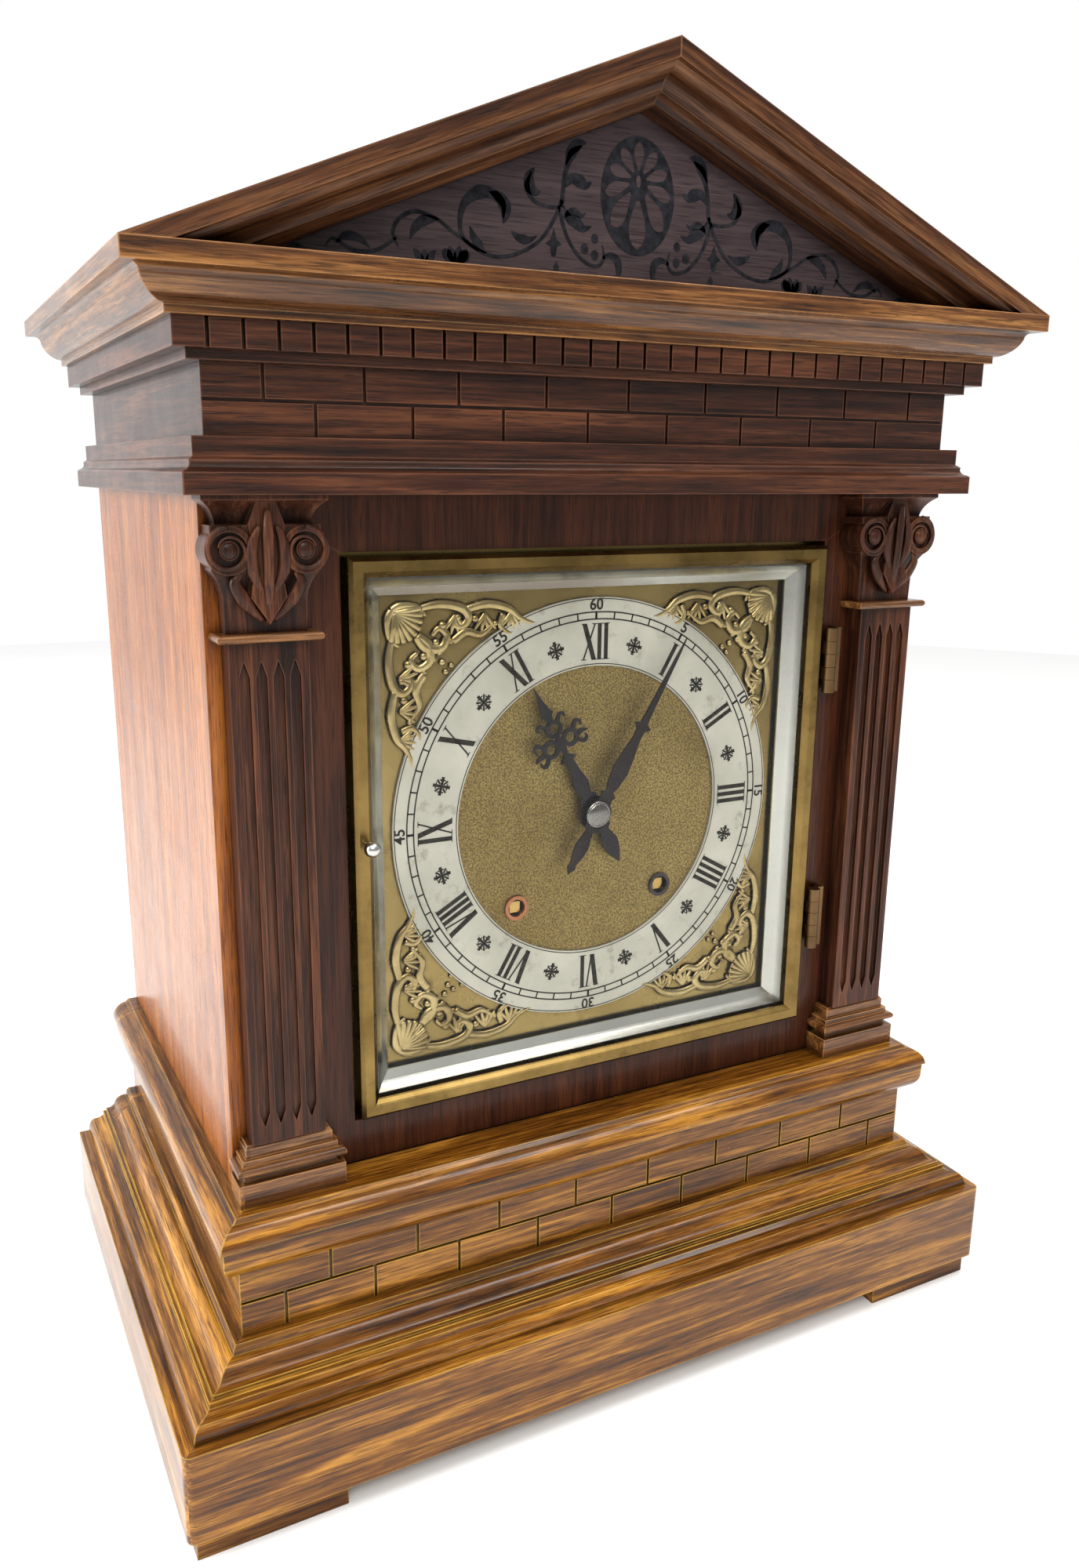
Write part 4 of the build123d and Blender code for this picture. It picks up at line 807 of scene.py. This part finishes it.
# %% Minute figures
FIGURE_R = 76.1
FIGURE_SIZE = 5.6
figures = []
for five in range(1, 13):
    curve = bpy.data.curves.new(f"figure_{five}", "FONT")
    curve.body = str(five * 5)
    curve.size = FIGURE_SIZE * MM
    curve.offset = 0.10 * MM
    curve.align_x = "CENTER"
    curve.align_y = "CENTER"
    curve.extrude = 0.04 * MM
    holder = bpy.data.objects.new(f"figure_{five}", curve)
    bpy.context.collection.objects.link(holder)
    bpy.context.view_layer.update()
    seen = holder.evaluated_get(bpy.context.evaluated_depsgraph_get())
    mesh = bpy.data.meshes.new_from_object(seen)
    bpy.data.objects.remove(holder)
    upright = Matrix.Rotation(math.pi / 2, 4, "X")
    out = Matrix.Translation((0, 0, FIGURE_R * MM))
    around = Matrix.Rotation(math.radians(30 * five), 4, "Y")
    place = Matrix.Translation((0, MARK_Y0 * MM, DIAL_Z * MM))
    mesh.transform(place @ around @ out @ upright)
    figures.append(mesh)
bm = bmesh.new()
for mesh in figures:
    bm.from_mesh(mesh)
joined = bpy.data.meshes.new("minute_figures")
bm.to_mesh(joined)
bm.free()
add_piece("minute_figures", joined, ink, "case")
print("figures", len(joined.polygons), "faces")

# %% [markdown]
# ## Hands
# The hour hand carries a pierced trefoil with curled tips, and both hands have waisted tails. Each is
# sawn from flat steel and is the same on both sides, so only half of an outline is drawn and then
# mirrored. The pierced rings and curls are laid over the outlines at the same depth. The solid hands
# are plain bars, and the cut ones stand in for them.

# %% Half outlines
hour_low, _ = packed_box("hour_hand")
minute_low, _ = packed_box("minute_hand")
HOUR_Y = hour_low[1]
MINUTE_Y = minute_low[1]
HOUR_ANGLE = 331.5
MINUTE_ANGLE = 30.0
HAND_T = 0.8


def half_outline(points):
    """A closed outline from one side of a symmetric shape."""
    return points + [(-s, t) for s, t in reversed(points) if s]


print("hands at", HOUR_Y, "and", MINUTE_Y)

# %% Hour hand
hour = Batch()
HOUR_SHAPES = [
    [(0, 55.3), (0.7, 50.0), (1.7, 45.5), (2.6, 43.4), (1.5, 42.6), (1.2, 41.0), (0, 40.6)],
    [(0, 27.2), (1.2, 26.4), (3.4, 24.4), (1.6, 23.6), (2.1, 19.0), (3.2, 13.0), (2.0, 8.4), (3.6, 7.2),
     (3.6, 4.6), (0, 4.6)],
    [(0, -4.6), (3.4, -5.0), (3.4, -7.0), (1.9, -8.2), (3.5, -13.5), (2.6, -17.8), (1.2, -20.6), (0, -22.8)]]
TREFOIL_STEM = [(0, 35.0), (1.4, 33.0), (1.2, 29.4), (1.0, 27.0), (0, 26.6)]
for shape in HOUR_SHAPES:
    hour.plate(turned(half_outline(shape), HOUR_ANGLE), HOUR_Y, HOUR_Y + HAND_T)
for s, t, r0 in ((0, 37.6, 2.0), (-4.4, 31.4, 1.9), (4.4, 31.4, 1.9)):
    x, z = turned([(s, t)], HOUR_ANGLE)[0]
    hour.annulus(x, z, r0, 3.5, HOUR_Y, HOUR_Y + HAND_T, 28)
hour.plate(turned(half_outline(TREFOIL_STEM), HOUR_ANGLE), HOUR_Y, HOUR_Y + HAND_T)

# %% Curls of the trefoil
for side in (-1, 1):
    for curl, widths in (([(6.6, 33.6), (8.6, 35.6), (10.2, 34.8), (10.0, 33.0)], [1.6, 1.5, 1.1, 0.4]),
                         ([(7.4, 30.8), (9.6, 31.0), (11.8, 30.2)], [1.8, 1.6, 0.4]),
                         ([(6.6, 29.0), (8.6, 27.2), (10.2, 27.8), (10.0, 29.2)], [1.6, 1.5, 1.1, 0.4]),
                         ([(2.8, 39.6), (4.4, 41.4), (5.9, 40.8), (5.6, 39.4)], [1.5, 1.3, 1.0, 0.4])):
        placed = turned([(side * s, t) for s, t in curl], HOUR_ANGLE)
        hour.ribbon(placed, widths, HOUR_Y, HOUR_Y + HAND_T, 5)
hour.annulus(0, DIAL_Z, 4.25, 6.6, HOUR_Y, HOUR_Y + HAND_T, 48)
hour_piece = hour.piece("hour_hand_cut", black_steel, "hour_train")
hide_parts("hour_hand")
print("hour hand", len(hour.faces), "faces")

# %% Minute hand and boss
minute = Batch()
MINUTE_SHAPES = [
    [(0, 72.8), (0.45, 66.0), (1.0, 52.0), (1.35, 40.0), (1.6, 37.4), (3.9, 36.4), (2.6, 35.2), (1.8, 34.4),
     (1.7, 31.0), (2.9, 24.0), (3.5, 18.0), (2.6, 12.0), (1.6, 9.4), (3.4, 8.2), (2.6, 6.6), (3.0, 3.6),
     (0, 3.4)],
    [(0, -3.4), (3.0, -3.6), (2.8, -5.8), (1.5, -7.4), (2.9, -13.0), (2.4, -17.0), (1.2, -20.5),
     (1.7, -22.0), (0, -24.5)]]
for shape in MINUTE_SHAPES:
    minute.plate(turned(half_outline(shape), MINUTE_ANGLE), MINUTE_Y, MINUTE_Y + HAND_T)
minute.annulus(0, DIAL_Z, 2.05, 5.2, MINUTE_Y, MINUTE_Y + HAND_T, 48)
minute_piece = minute.piece("minute_hand_cut", black_steel, "minute_train")
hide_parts("minute_hand")

boss = Batch()
boss.dome(0, MINUTE_Y - 0.2, DIAL_Z, 4.3, 0.9, 5, 36)
boss.annulus(0, DIAL_Z, 3.6, 5.0, MINUTE_Y - 0.35, MINUTE_Y - 0.02, 48)
boss_piece = boss.piece("hand_boss", knob_metal, "minute_train", True)
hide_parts("hand_nut")
print("minute hand", len(minute.faces), "faces")

# %% [markdown]
# ## Corner pieces
# Each cast corner has a fan of shell ribs on its diagonal, scrolled leaves along both edges and small
# beads. Sculpting would suit a single casting. Tubes that swell and taper give the same soft relief
# with a few points each. A corner is the same on both sides of its diagonal, so all but the shell is
# made twice, the second time with its two distances swapped.

# %% Places of the corners
plate_low, _ = packed_box("dial_plate")
cast_low, cast_high = packed_box("spandrels")
BASE_Y = plate_low[1] - 0.3
CORNER_X = cast_high[0] - 0.4
CORNER_Z = round((cast_high[2] - cast_low[2]) / 2 - 0.6, 1)
CORNER_MID_Z = round((cast_low[2] + cast_high[2]) / 2, 1)
# Each scroll is a line of distances from the corner's two edges, and the widths along it.
SCROLLS = (
    ([(3.0, 13), (1.8, 20), (3.2, 28), (6.6, 31), (9.6, 28.5), (8.6, 25.2), (6.2, 26.0)],
     [1.1, 1.7, 1.9, 1.7, 1.4, 1.0, 0.6]),
    ([(4.0, 30), (2.4, 38), (4.2, 46), (7.4, 50), (9.4, 55), (9.0, 60)], [1.4, 1.8, 1.6, 1.2, 0.9, 0.3]),
    ([(6, 44), (10, 43), (12.6, 46.4), (11.0, 49.0)], [1.2, 1.2, 0.9, 0.4]),
    ([(12.0, 12.0), (16, 15), (16.6, 20.6), (12.4, 23.0), (9.8, 20.0), (12.2, 17.6)],
     [1.7, 1.9, 1.8, 1.5, 1.1, 0.7]),
    ([(14.6, 25.0), (11.4, 30.0), (12.6, 35.6), (9.0, 40.6)], [1.6, 1.7, 1.3, 0.5]),
    ([(3.2, 3.2), (6.2, 1.8), (12.0, 2.4), (15.4, 5.6)], [1.3, 1.6, 1.3, 0.5]))
BEADS = ((21.5, 9.0, 1.7), (27.0, 6.5, 1.4), (33.5, 7.2, 1.5), (41.0, 9.2, 1.2), (24.4, 14.4, 1.3))
print("corners at", CORNER_X, CORNER_Z, "from", CORNER_MID_Z)

# %% One corner
def corner_piece(sx, sz, batch):
    """Scrolls, shell, beads and leaves for one corner."""
    cx = sx * CORNER_X
    cz = CORNER_MID_Z + sz * CORNER_Z

    def at(a, b, lift, mirror=False):
        if mirror:
            a, b = b, a
        return (cx - sx * a, BASE_Y - lift, cz - sz * b)

    for points, radii in SCROLLS:
        for mirror in (False, True):
            batch.tube([at(a, b, 0.55, mirror) for a, b in points], radii, 8, 0.5)
    for k in range(9):
        a = math.radians(-4 + 12.25 * k)
        reach = 10.2 + 1.6 * math.sin(math.radians(22.5 * k))
        tip = (3.5 + reach * math.cos(a), 3.5 + reach * math.sin(a))
        path = [at(4.0, 4.0, 0.7), at((4 + tip[0]) / 2, (4 + tip[1]) / 2, 1.1), at(tip[0], tip[1], 0.6)]
        batch.tube(path, [0.5, 1.1, 1.2], 8, 0.6)
    for k in range(6):
        for mirror in (False, True):
            x, y, z = at(16.5 + k * 3.4 - 2.0, 19 + k * 1.2, 0.1, mirror)
            batch.dome(x, y, z, 1.5 - 0.13 * k, 1.1 - 0.1 * k, 3, 10)
    for a, b, r in BEADS:
        for mirror in (False, True):
            x, y, z = at(a, b, 0.1, mirror)
            batch.dome(x, y, z, r, 1.1, 3, 12)
    for a0, turn in ((26.0, 1), (37.0, -1), (47.0, 1)):
        for k in range(4):
            base = (a0, 5.5)
            lean = math.radians(55 + 24 * k) if turn > 0 else math.radians(125 - 24 * k)
            tip = (a0 + 7.0 * math.cos(lean), 5.5 + 7.0 * math.sin(lean))
            middle = ((base[0] + tip[0]) / 2, (base[1] + tip[1]) / 2)
            for mirror in (False, True):
                path = [at(a, b, 0.5, mirror) for a, b in (base, middle, tip)]
                batch.tube(path, [0.6, 1.0, 0.4], 7, 0.7)


# %% Four corners
cast = Batch()
for sx in (-1, 1):
    for sz in (-1, 1):
        corner_piece(sx, sz, cast)
castings = cast.piece("corner_castings", cast_gilt, "case", True)
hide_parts("spandrels")
print("corner castings", len(cast.faces), "faces")

# %% [markdown]
# ## Pediment pattern
# Vines, leaves and a ten-petalled flower in an oval are sawn into the panel and filled with black. A
# picture could show them, but cut shapes stay sharp from near by. One half of the vines is laid out as
# strips along smooth lines and mirrored about the middle. The strips stand just proud of the panel.

# %% Strips and leaves
tympanum_low, _ = packed_box("tympanum")
CUT_Y0 = tympanum_low[1] - 0.12
CUT_Y1 = tympanum_low[1] + 0.2
CUT_SWELL = 1.35
vines = Batch()


def vine(points, widths):
    """A stem or a curl with a width at each of its points."""
    vines.ribbon(points, [w * CUT_SWELL for w in widths], CUT_Y0, CUT_Y1, 6)


def leaf(points, widest):
    """A strip that is pointed at both ends."""
    vine(points, [0.15, widest * 0.75, widest, widest * 0.6, 0.1])


print("pattern from", round(CUT_Y0, 2), "to", round(CUT_Y1, 2))

# %% The great scroll and its leaves
vine([(-27.3, 421.1), (-29.7, 415.8), (-34.6, 409.2), (-42.0, 404.8), (-49.2, 403.2), (-55.2, 404.4),
      (-60.5, 407.6), (-61.6, 412.4), (-59.9, 417.4), (-55.2, 420.6), (-50.5, 420.4), (-47.5, 418.1),
      (-47.3, 414.0)],
     [1.0, 0.9, 0.8, 0.8, 0.8, 0.8, 0.9, 1.1, 1.8, 3.0, 2.2, 1.6, 0.2])
leaf([(-52.0, 421.0), (-49.0, 420.0), (-46.8, 417.6), (-46.6, 414.8), (-47.4, 412.6)], 3.2)
vine([(-55.4, 404.4), (-63.4, 408.6), (-69.1, 412.0), (-75.8, 413.4), (-80.9, 411.0), (-82.9, 407.1),
      (-81.2, 403.4)],
     [0.7, 0.7, 0.8, 0.9, 0.9, 0.8, 0.3])
leaf([(-77.6, 405.8), (-76.0, 409.0), (-73.2, 411.2), (-70.4, 411.8), (-68.4, 412.0)], 2.4)
vine([(-81.6, 406.0), (-88.0, 402.0), (-95.0, 401.4), (-101.0, 404.0), (-103.5, 401.6)],
     [0.6, 0.8, 0.8, 0.7, 0.2])
leaf([(-90.0, 402.4), (-93.0, 404.6), (-96.4, 405.2), (-98.6, 404.4), (-100.4, 402.8)], 2.0)

# %% Sprays beside the oval
vine([(-27.9, 419.0), (-32.3, 418.8), (-37.2, 420.1), (-39.4, 423.9), (-37.9, 428.0)],
     [0.8, 0.8, 0.9, 1.4, 0.2])
leaf([(-36.8, 429.2), (-38.6, 426.6), (-38.4, 423.8), (-36.4, 422.4), (-34.6, 422.8)], 3.0)
vine([(-27.3, 419.0), (-26.8, 425.6), (-25.6, 430.8), (-23.8, 434.5), (-20.6, 437.0)],
     [1.1, 1.0, 1.2, 2.2, 0.3])
leaf([(-26.2, 431.0), (-24.8, 434.6), (-22.8, 436.8), (-20.8, 437.8), (-19.0, 437.8)], 2.6)
leaf([(-26.4, 424.6), (-24.0, 427.4), (-21.1, 427.0), (-19.0, 426.0), (-16.8, 427.2)], 3.0)
leaf([(-26.8, 419.4), (-24.6, 416.2), (-22.2, 415.2), (-19.6, 413.6), (-16.6, 414.6)], 2.8)
leaf([(-26.6, 415.8), (-25.0, 417.6), (-22.8, 418.2), (-20.4, 417.2), (-18.8, 418.2)], 1.8)
vine([(-27.9, 418.5), (-26.6, 413.5), (-23.9, 408.6), (-19.4, 404.3), (-14.4, 403.1), (-12.0, 405.6),
      (-12.6, 409.4)],
     [1.0, 0.9, 0.8, 0.8, 0.8, 0.8, 0.2])
vine([(-12.4, 405.6), (-9.6, 406.6), (-7.0, 405.2), (-6.4, 401.6), (-8.0, 399.6)], [0.6, 1.4, 2.0, 1.4, 0.3])
leaf([(-44.6, 410.8), (-42.6, 409.4), (-40.2, 408.8), (-38.0, 409.0), (-35.6, 410.2)], 2.1)
leaf([(-58.4, 411.0), (-57.2, 408.2), (-55.6, 406.2), (-54.4, 404.8), (-52.8, 403.8)], 2.2)

# %% Small sprigs, bud and berries
SPRIG = (-63.0, 399.4)
for dx, dz in ((-4.0, 0.4), (-2.0, 2.2), (1.2, 2.8), (3.6, 1.4), (4.6, -0.6)):
    x = SPRIG[0]
    leaf([SPRIG, (x + dx * 0.4, 401.2), (x + dx * 0.7, 402.6), (x + dx * 0.9, 403.4 + dz * 0.3),
          (x + dx, 403.8 + dz * 0.5)], 2.4)
vines.plate([(-30.0, 412.8), (-28.9, 409.6), (-27.2, 408.4), (-28.8, 407.6), (-29.3, 404.8),
             (-30.7, 404.8), (-31.2, 407.6), (-32.8, 408.4), (-31.1, 409.6)], CUT_Y0, CUT_Y1)
vines.plate([(-29.0, 403.4), (-28.0, 402.0), (-28.4, 399.6), (-29.6, 399.6), (-30.0, 402.0)], CUT_Y0, CUT_Y1)
for x, z, r in ((-15.4, 411.1, 1.25), (-19.0, 407.9, 1.35), (-15.3, 406.3, 1.3)):
    vines.plate(disc_points(x, z, r, r * 1.15, 20), CUT_Y0, CUT_Y1)
TUFT_X = -73.0
for dx in (-2.0, 0.0, 2.0):
    leaf([(TUFT_X, 399.0), (TUFT_X + dx * 0.5, 400.4), (TUFT_X + dx, 401.6), (TUFT_X + dx * 1.4, 402.6),
          (TUFT_X + dx * 1.8, 403.4)], 1.8)
leaf([(-108.0, 398.4), (-110.0, 400.4), (-112.4, 400.8), (-114.6, 400.0), (-116.6, 398.6)], 1.8)
vines.mirrored()
vines.piece("pediment_vines", inlay, "case")
print("vines", len(vines.faces), "faces")

# %% [markdown]
# ## Flower in the oval
# The oval is sawn out and filled with black, and ten petals of panel wood are left standing round an
# eye that sits above the oval's middle. A petal is given as shares of the way from the eye to the
# oval's edge, found by meeting a ray with the oval, so every petal ends at the same margin.

# %% Oval and petals
OVAL_Z = 424.6
OVAL_RX = 13.6
OVAL_RZ = 17.4
PETALS = 10
PETAL_HALF = 0.245
EYE_Z = OVAL_Z + 4.4
flower = Batch()


def petal_edge(angle, share):
    """A point of the flower's edge, where petals run out towards the oval."""
    dx = math.cos(angle)
    dz = math.sin(angle)
    a = (dx / (OVAL_RX - 1.0)) ** 2 + (dz / (OVAL_RZ - 1.0)) ** 2
    b = 2 * dz * (EYE_Z - OVAL_Z) / (OVAL_RZ - 1.0) ** 2
    c = ((EYE_Z - OVAL_Z) / (OVAL_RZ - 1.0)) ** 2 - 1
    reach = (-b + math.sqrt(b * b - 4 * a * c)) / (2 * a)
    return (dx * reach * share, EYE_Z + dz * reach * share)


flower.plate(disc_points(0, OVAL_Z, OVAL_RX, OVAL_RZ, 72), CUT_Y0, CUT_Y1)
flower.piece("pediment_oval", inlay, "case")
petals = Batch()
for k in range(PETALS):
    a = math.pi / 2 + k * 2 * math.pi / PETALS
    sides = []
    for i in range(9):
        t = i / 8
        swell = PETAL_HALF * math.sin(math.pi * (0.12 + 0.80 * t)) ** 0.7
        sides.append((swell, 0.27 + 0.64 * t + 0.03 * math.sin(math.pi * t)))
    loop = [petal_edge(a + swell, share) for swell, share in sides]
    loop += [petal_edge(a, 0.965)]
    loop += [petal_edge(a - swell, share) for swell, share in reversed(sides)]
    petals.plate(loop, CUT_Y0 - 0.1, CUT_Y0 + 0.02)
petals.plate(disc_points(0, EYE_Z, 0.9, 1.9, 20), CUT_Y0 - 0.1, CUT_Y0 + 0.02)
petals.piece("pediment_petals", woods["tympanum"], "case")
print("petals", PETALS)

# %% [markdown]
# ## Capitals
# Each capital has two scrolls and a leaf between them. The solid has the plain forms, and the carving
# is laid on: a raised spiral that shrinks as it turns, an eye in its middle, and leaf lobes that are
# flattened tubes. Carving the solid itself would need far more faces for the same soft relief.

# %% Carved capitals
capital_xs = [v.co.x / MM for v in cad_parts["capitals"].data.vertices if v.co.x > 0]
PILASTER_X = round((min(capital_xs) + max(capital_xs)) / 2, 1)
capital_low, capital_high = packed_box("capitals")
ARCH_Z = capital_high[2]
EYE_HEIGHT = ARCH_Z - 16.0
# A leaf's line as steps out from the pilaster's middle, depth behind the front line and drop.
OUTER_LOBE = ((1.5, 5.6, 37), (7.0, 4.6, 31), (10.0, 4.0, 25.5), (8.0, 3.6, 22.5))
INNER_LOBE = ((0.8, 4.6, 30), (4.6, 3.4, 22), (4.6, 2.6, 14), (2.6, 2.4, 9))
STEM = ((0, 5.4, 38), (0, 3.2, 26), (0, 2.4, 12), (0, 2.0, 4))
carving = Batch()


def leaf_line(x0, turn, steps):
    """Points of a carved lobe on one side of a pilaster's middle."""
    return [(x0 + turn * out, FRONT_Y + back, ARCH_Z - drop) for out, back, drop in steps]


for side in (-1, 1):
    x0 = side * PILASTER_X
    for turn in (-1, 1):
        vx = x0 + turn * 11.5
        spiral = []
        for k in range(19):
            a = math.radians(90 + turn * -1 * 24 * k)
            r = 6.9 - 0.20 * k
            spiral.append((vx + r * math.cos(a), FRONT_Y + 3.2, EYE_HEIGHT + r * math.sin(a)))
        carving.tube(spiral, [0.9, 0.85, 0.75, 0.6, 0.35], 7, 0.8, 2)
        carving.dome(vx, FRONT_Y + 3.1, EYE_HEIGHT, 2.6, 1.0, 4, 20)
        carving.tube(leaf_line(x0, turn, OUTER_LOBE), [0.8, 2.2, 1.8, 0.5], 9, 0.55)
        carving.tube(leaf_line(x0, turn, INNER_LOBE), [0.7, 2.0, 1.7, 0.5], 9, 0.6)
    carving.tube(leaf_line(x0, 1, STEM), [0.7, 1.6, 1.8, 0.7], 9, 0.7)
carving.piece("capital_carving", woods["upper_z"], "case", True)
print("carving", len(carving.faces), "faces at", PILASTER_X)

# %% [markdown]
# ## Floor and room
# The photograph has a white backdrop and a pale, matt floor with a soft shadow. The floor is one flat
# disc. The sky is bright behind the clock and overhead, which keeps the backdrop white, and darker
# on the camera's side, where it would make the polished wood look milky.

# %% Pale floor
n = Nodes("studio_floor")
cloud = n.noise(n.coords, 2.0, 2.0, 0.4)
floor_colour = n.ramp(cloud, [(0.3, (0.86, 0.86, 0.86)), (0.7, (0.90, 0.90, 0.90))])
floor_material = n.set(Base_Color=floor_colour, Roughness=0.9)
FLOOR_R = 2.2
FLOOR_SIDES = 96
rim = [(x, y, 0) for x, y in disc_points(0, 0, FLOOR_R, FLOOR_R, FLOOR_SIDES)]
mesh = bpy.data.meshes.new("floor")
mesh.from_pydata(rim, [], [list(range(FLOOR_SIDES))])
floor = bpy.data.objects.new("floor", mesh)
bpy.context.collection.objects.link(floor)
mesh.materials.append(floor_material)
print("floor", FLOOR_R, "m in radius")

# %% Sky
world = bpy.data.worlds.new("studio")
world.use_nodes = True
sky = world.node_tree.nodes
join = world.node_tree.links.new
split = sky.new("ShaderNodeSeparateXYZ")
join(sky.new("ShaderNodeTexCoord").outputs["Generated"], split.inputs[0])


def brightness_along(axis, start, end, low):
    """A smooth change of the sky's brightness along one direction, up to full."""
    made = sky.new("ShaderNodeMapRange")
    made.interpolation_type = "SMOOTHSTEP"
    join(split.outputs[axis], made.inputs["Value"])
    for socket, value in (("From Min", start), ("From Max", end), ("To Min", low), ("To Max", 1.0)):
        made.inputs[socket].default_value = value
    return made.outputs[0]


brighter = sky.new("ShaderNodeMath")
brighter.operation = "MAXIMUM"
join(brightness_along("Y", -0.30, 0.05, 0.42), brighter.inputs[0])
join(brightness_along("Z", 0.35, 0.75, 0.0), brighter.inputs[1])
join(brighter.outputs[0], sky["Background"].inputs["Strength"])
sky["Background"].inputs["Color"].default_value = (1.0, 1.0, 1.0, 1)
bpy.context.scene.world = world
print("sky made")

# %% [markdown]
# ## Lights
# A tall window on the left gives the long reflection on the side of the case. A panel above and one in
# front of the clock fill the shadows under the cornice. Large panels are used because their soft edges
# show in the polish, as a window's would.

# %% Soft lights
def soft_light(name, place, target, wide, high, power, colour):
    """A large soft panel of light that faces a point."""
    data = bpy.data.lights.new(name, "AREA")
    data.shape = "RECTANGLE"
    data.size = wide
    data.size_y = high
    data.energy = power
    data.color = colour
    lamp = bpy.data.objects.new(name, data)
    lamp.location = place
    way = Vector(target) - Vector(place)
    lamp.rotation_euler = way.to_track_quat("-Z", "Y").to_euler()
    bpy.context.collection.objects.link(lamp)


soft_light("window_left", (-1.6, 0.2, 0.7), (0, 0, 0.3), 1.2, 0.9, 36, (0.95, 0.98, 1.0))
soft_light("ceiling", (0.55, -0.3, 1.6), (0, -0.05, 0.2), 0.9, 0.7, 13, (1.0, 0.99, 0.96))
soft_light("front_above", (-0.5, -1.4, 1.5), (0, 0, 0.2), 1.1, 0.8, 22, (1.0, 0.97, 0.92))
print("lights", len(bpy.data.lights))

# %% [markdown]
# ## Camera
# The camera stands where the photograph was taken from, left of the clock and a little above it. Its
# place and turn were worked out from the straight edges of the case, in metres and degrees. The lens's
# middle isn't quite the picture's middle, as in a cropped photograph, and the two shifts allow for it.

# %% Camera
FOCAL_PX = 1570.47
CENTRE_PX = (660.38, 993.95)
IMAGE = (1376, 2000)
CAMERA_AT = (-0.22434, -0.35789 + FRONT_Y * MM, 0.33979)
YAW = math.radians(-27.080)
PITCH = math.radians(-13.960)
ROLL = math.radians(0.397)
ahead = Vector((-math.sin(YAW) * math.cos(PITCH), math.cos(YAW) * math.cos(PITCH), math.sin(PITCH)))
level = Vector((math.cos(YAW), math.sin(YAW), 0))
above = level.cross(ahead)
right = level * math.cos(ROLL) + above * math.sin(ROLL)
up = -level * math.sin(ROLL) + above * math.cos(ROLL)
camera_data = bpy.data.cameras.new("camera")
camera_data.sensor_fit = "HORIZONTAL"
camera_data.sensor_width = 36.0
camera_data.lens = FOCAL_PX / IMAGE[0] * 36.0
camera_data.shift_x = (IMAGE[0] / 2 - CENTRE_PX[0]) / IMAGE[0]
camera_data.shift_y = (CENTRE_PX[1] - IMAGE[1] / 2) / IMAGE[0]
camera_data.clip_start = 0.01
camera = bpy.data.objects.new("camera", camera_data)
camera.matrix_world = Matrix((
    (right.x, up.x, -ahead.x, CAMERA_AT[0]),
    (right.y, up.y, -ahead.y, CAMERA_AT[1]),
    (right.z, up.z, -ahead.z, CAMERA_AT[2]),
    (0, 0, 0, 1)))
bpy.context.collection.objects.link(camera)
bpy.context.scene.camera = camera
bpy.context.scene.view_settings.view_transform = "Standard"
print("lens", round(camera_data.lens, 2), "mm")
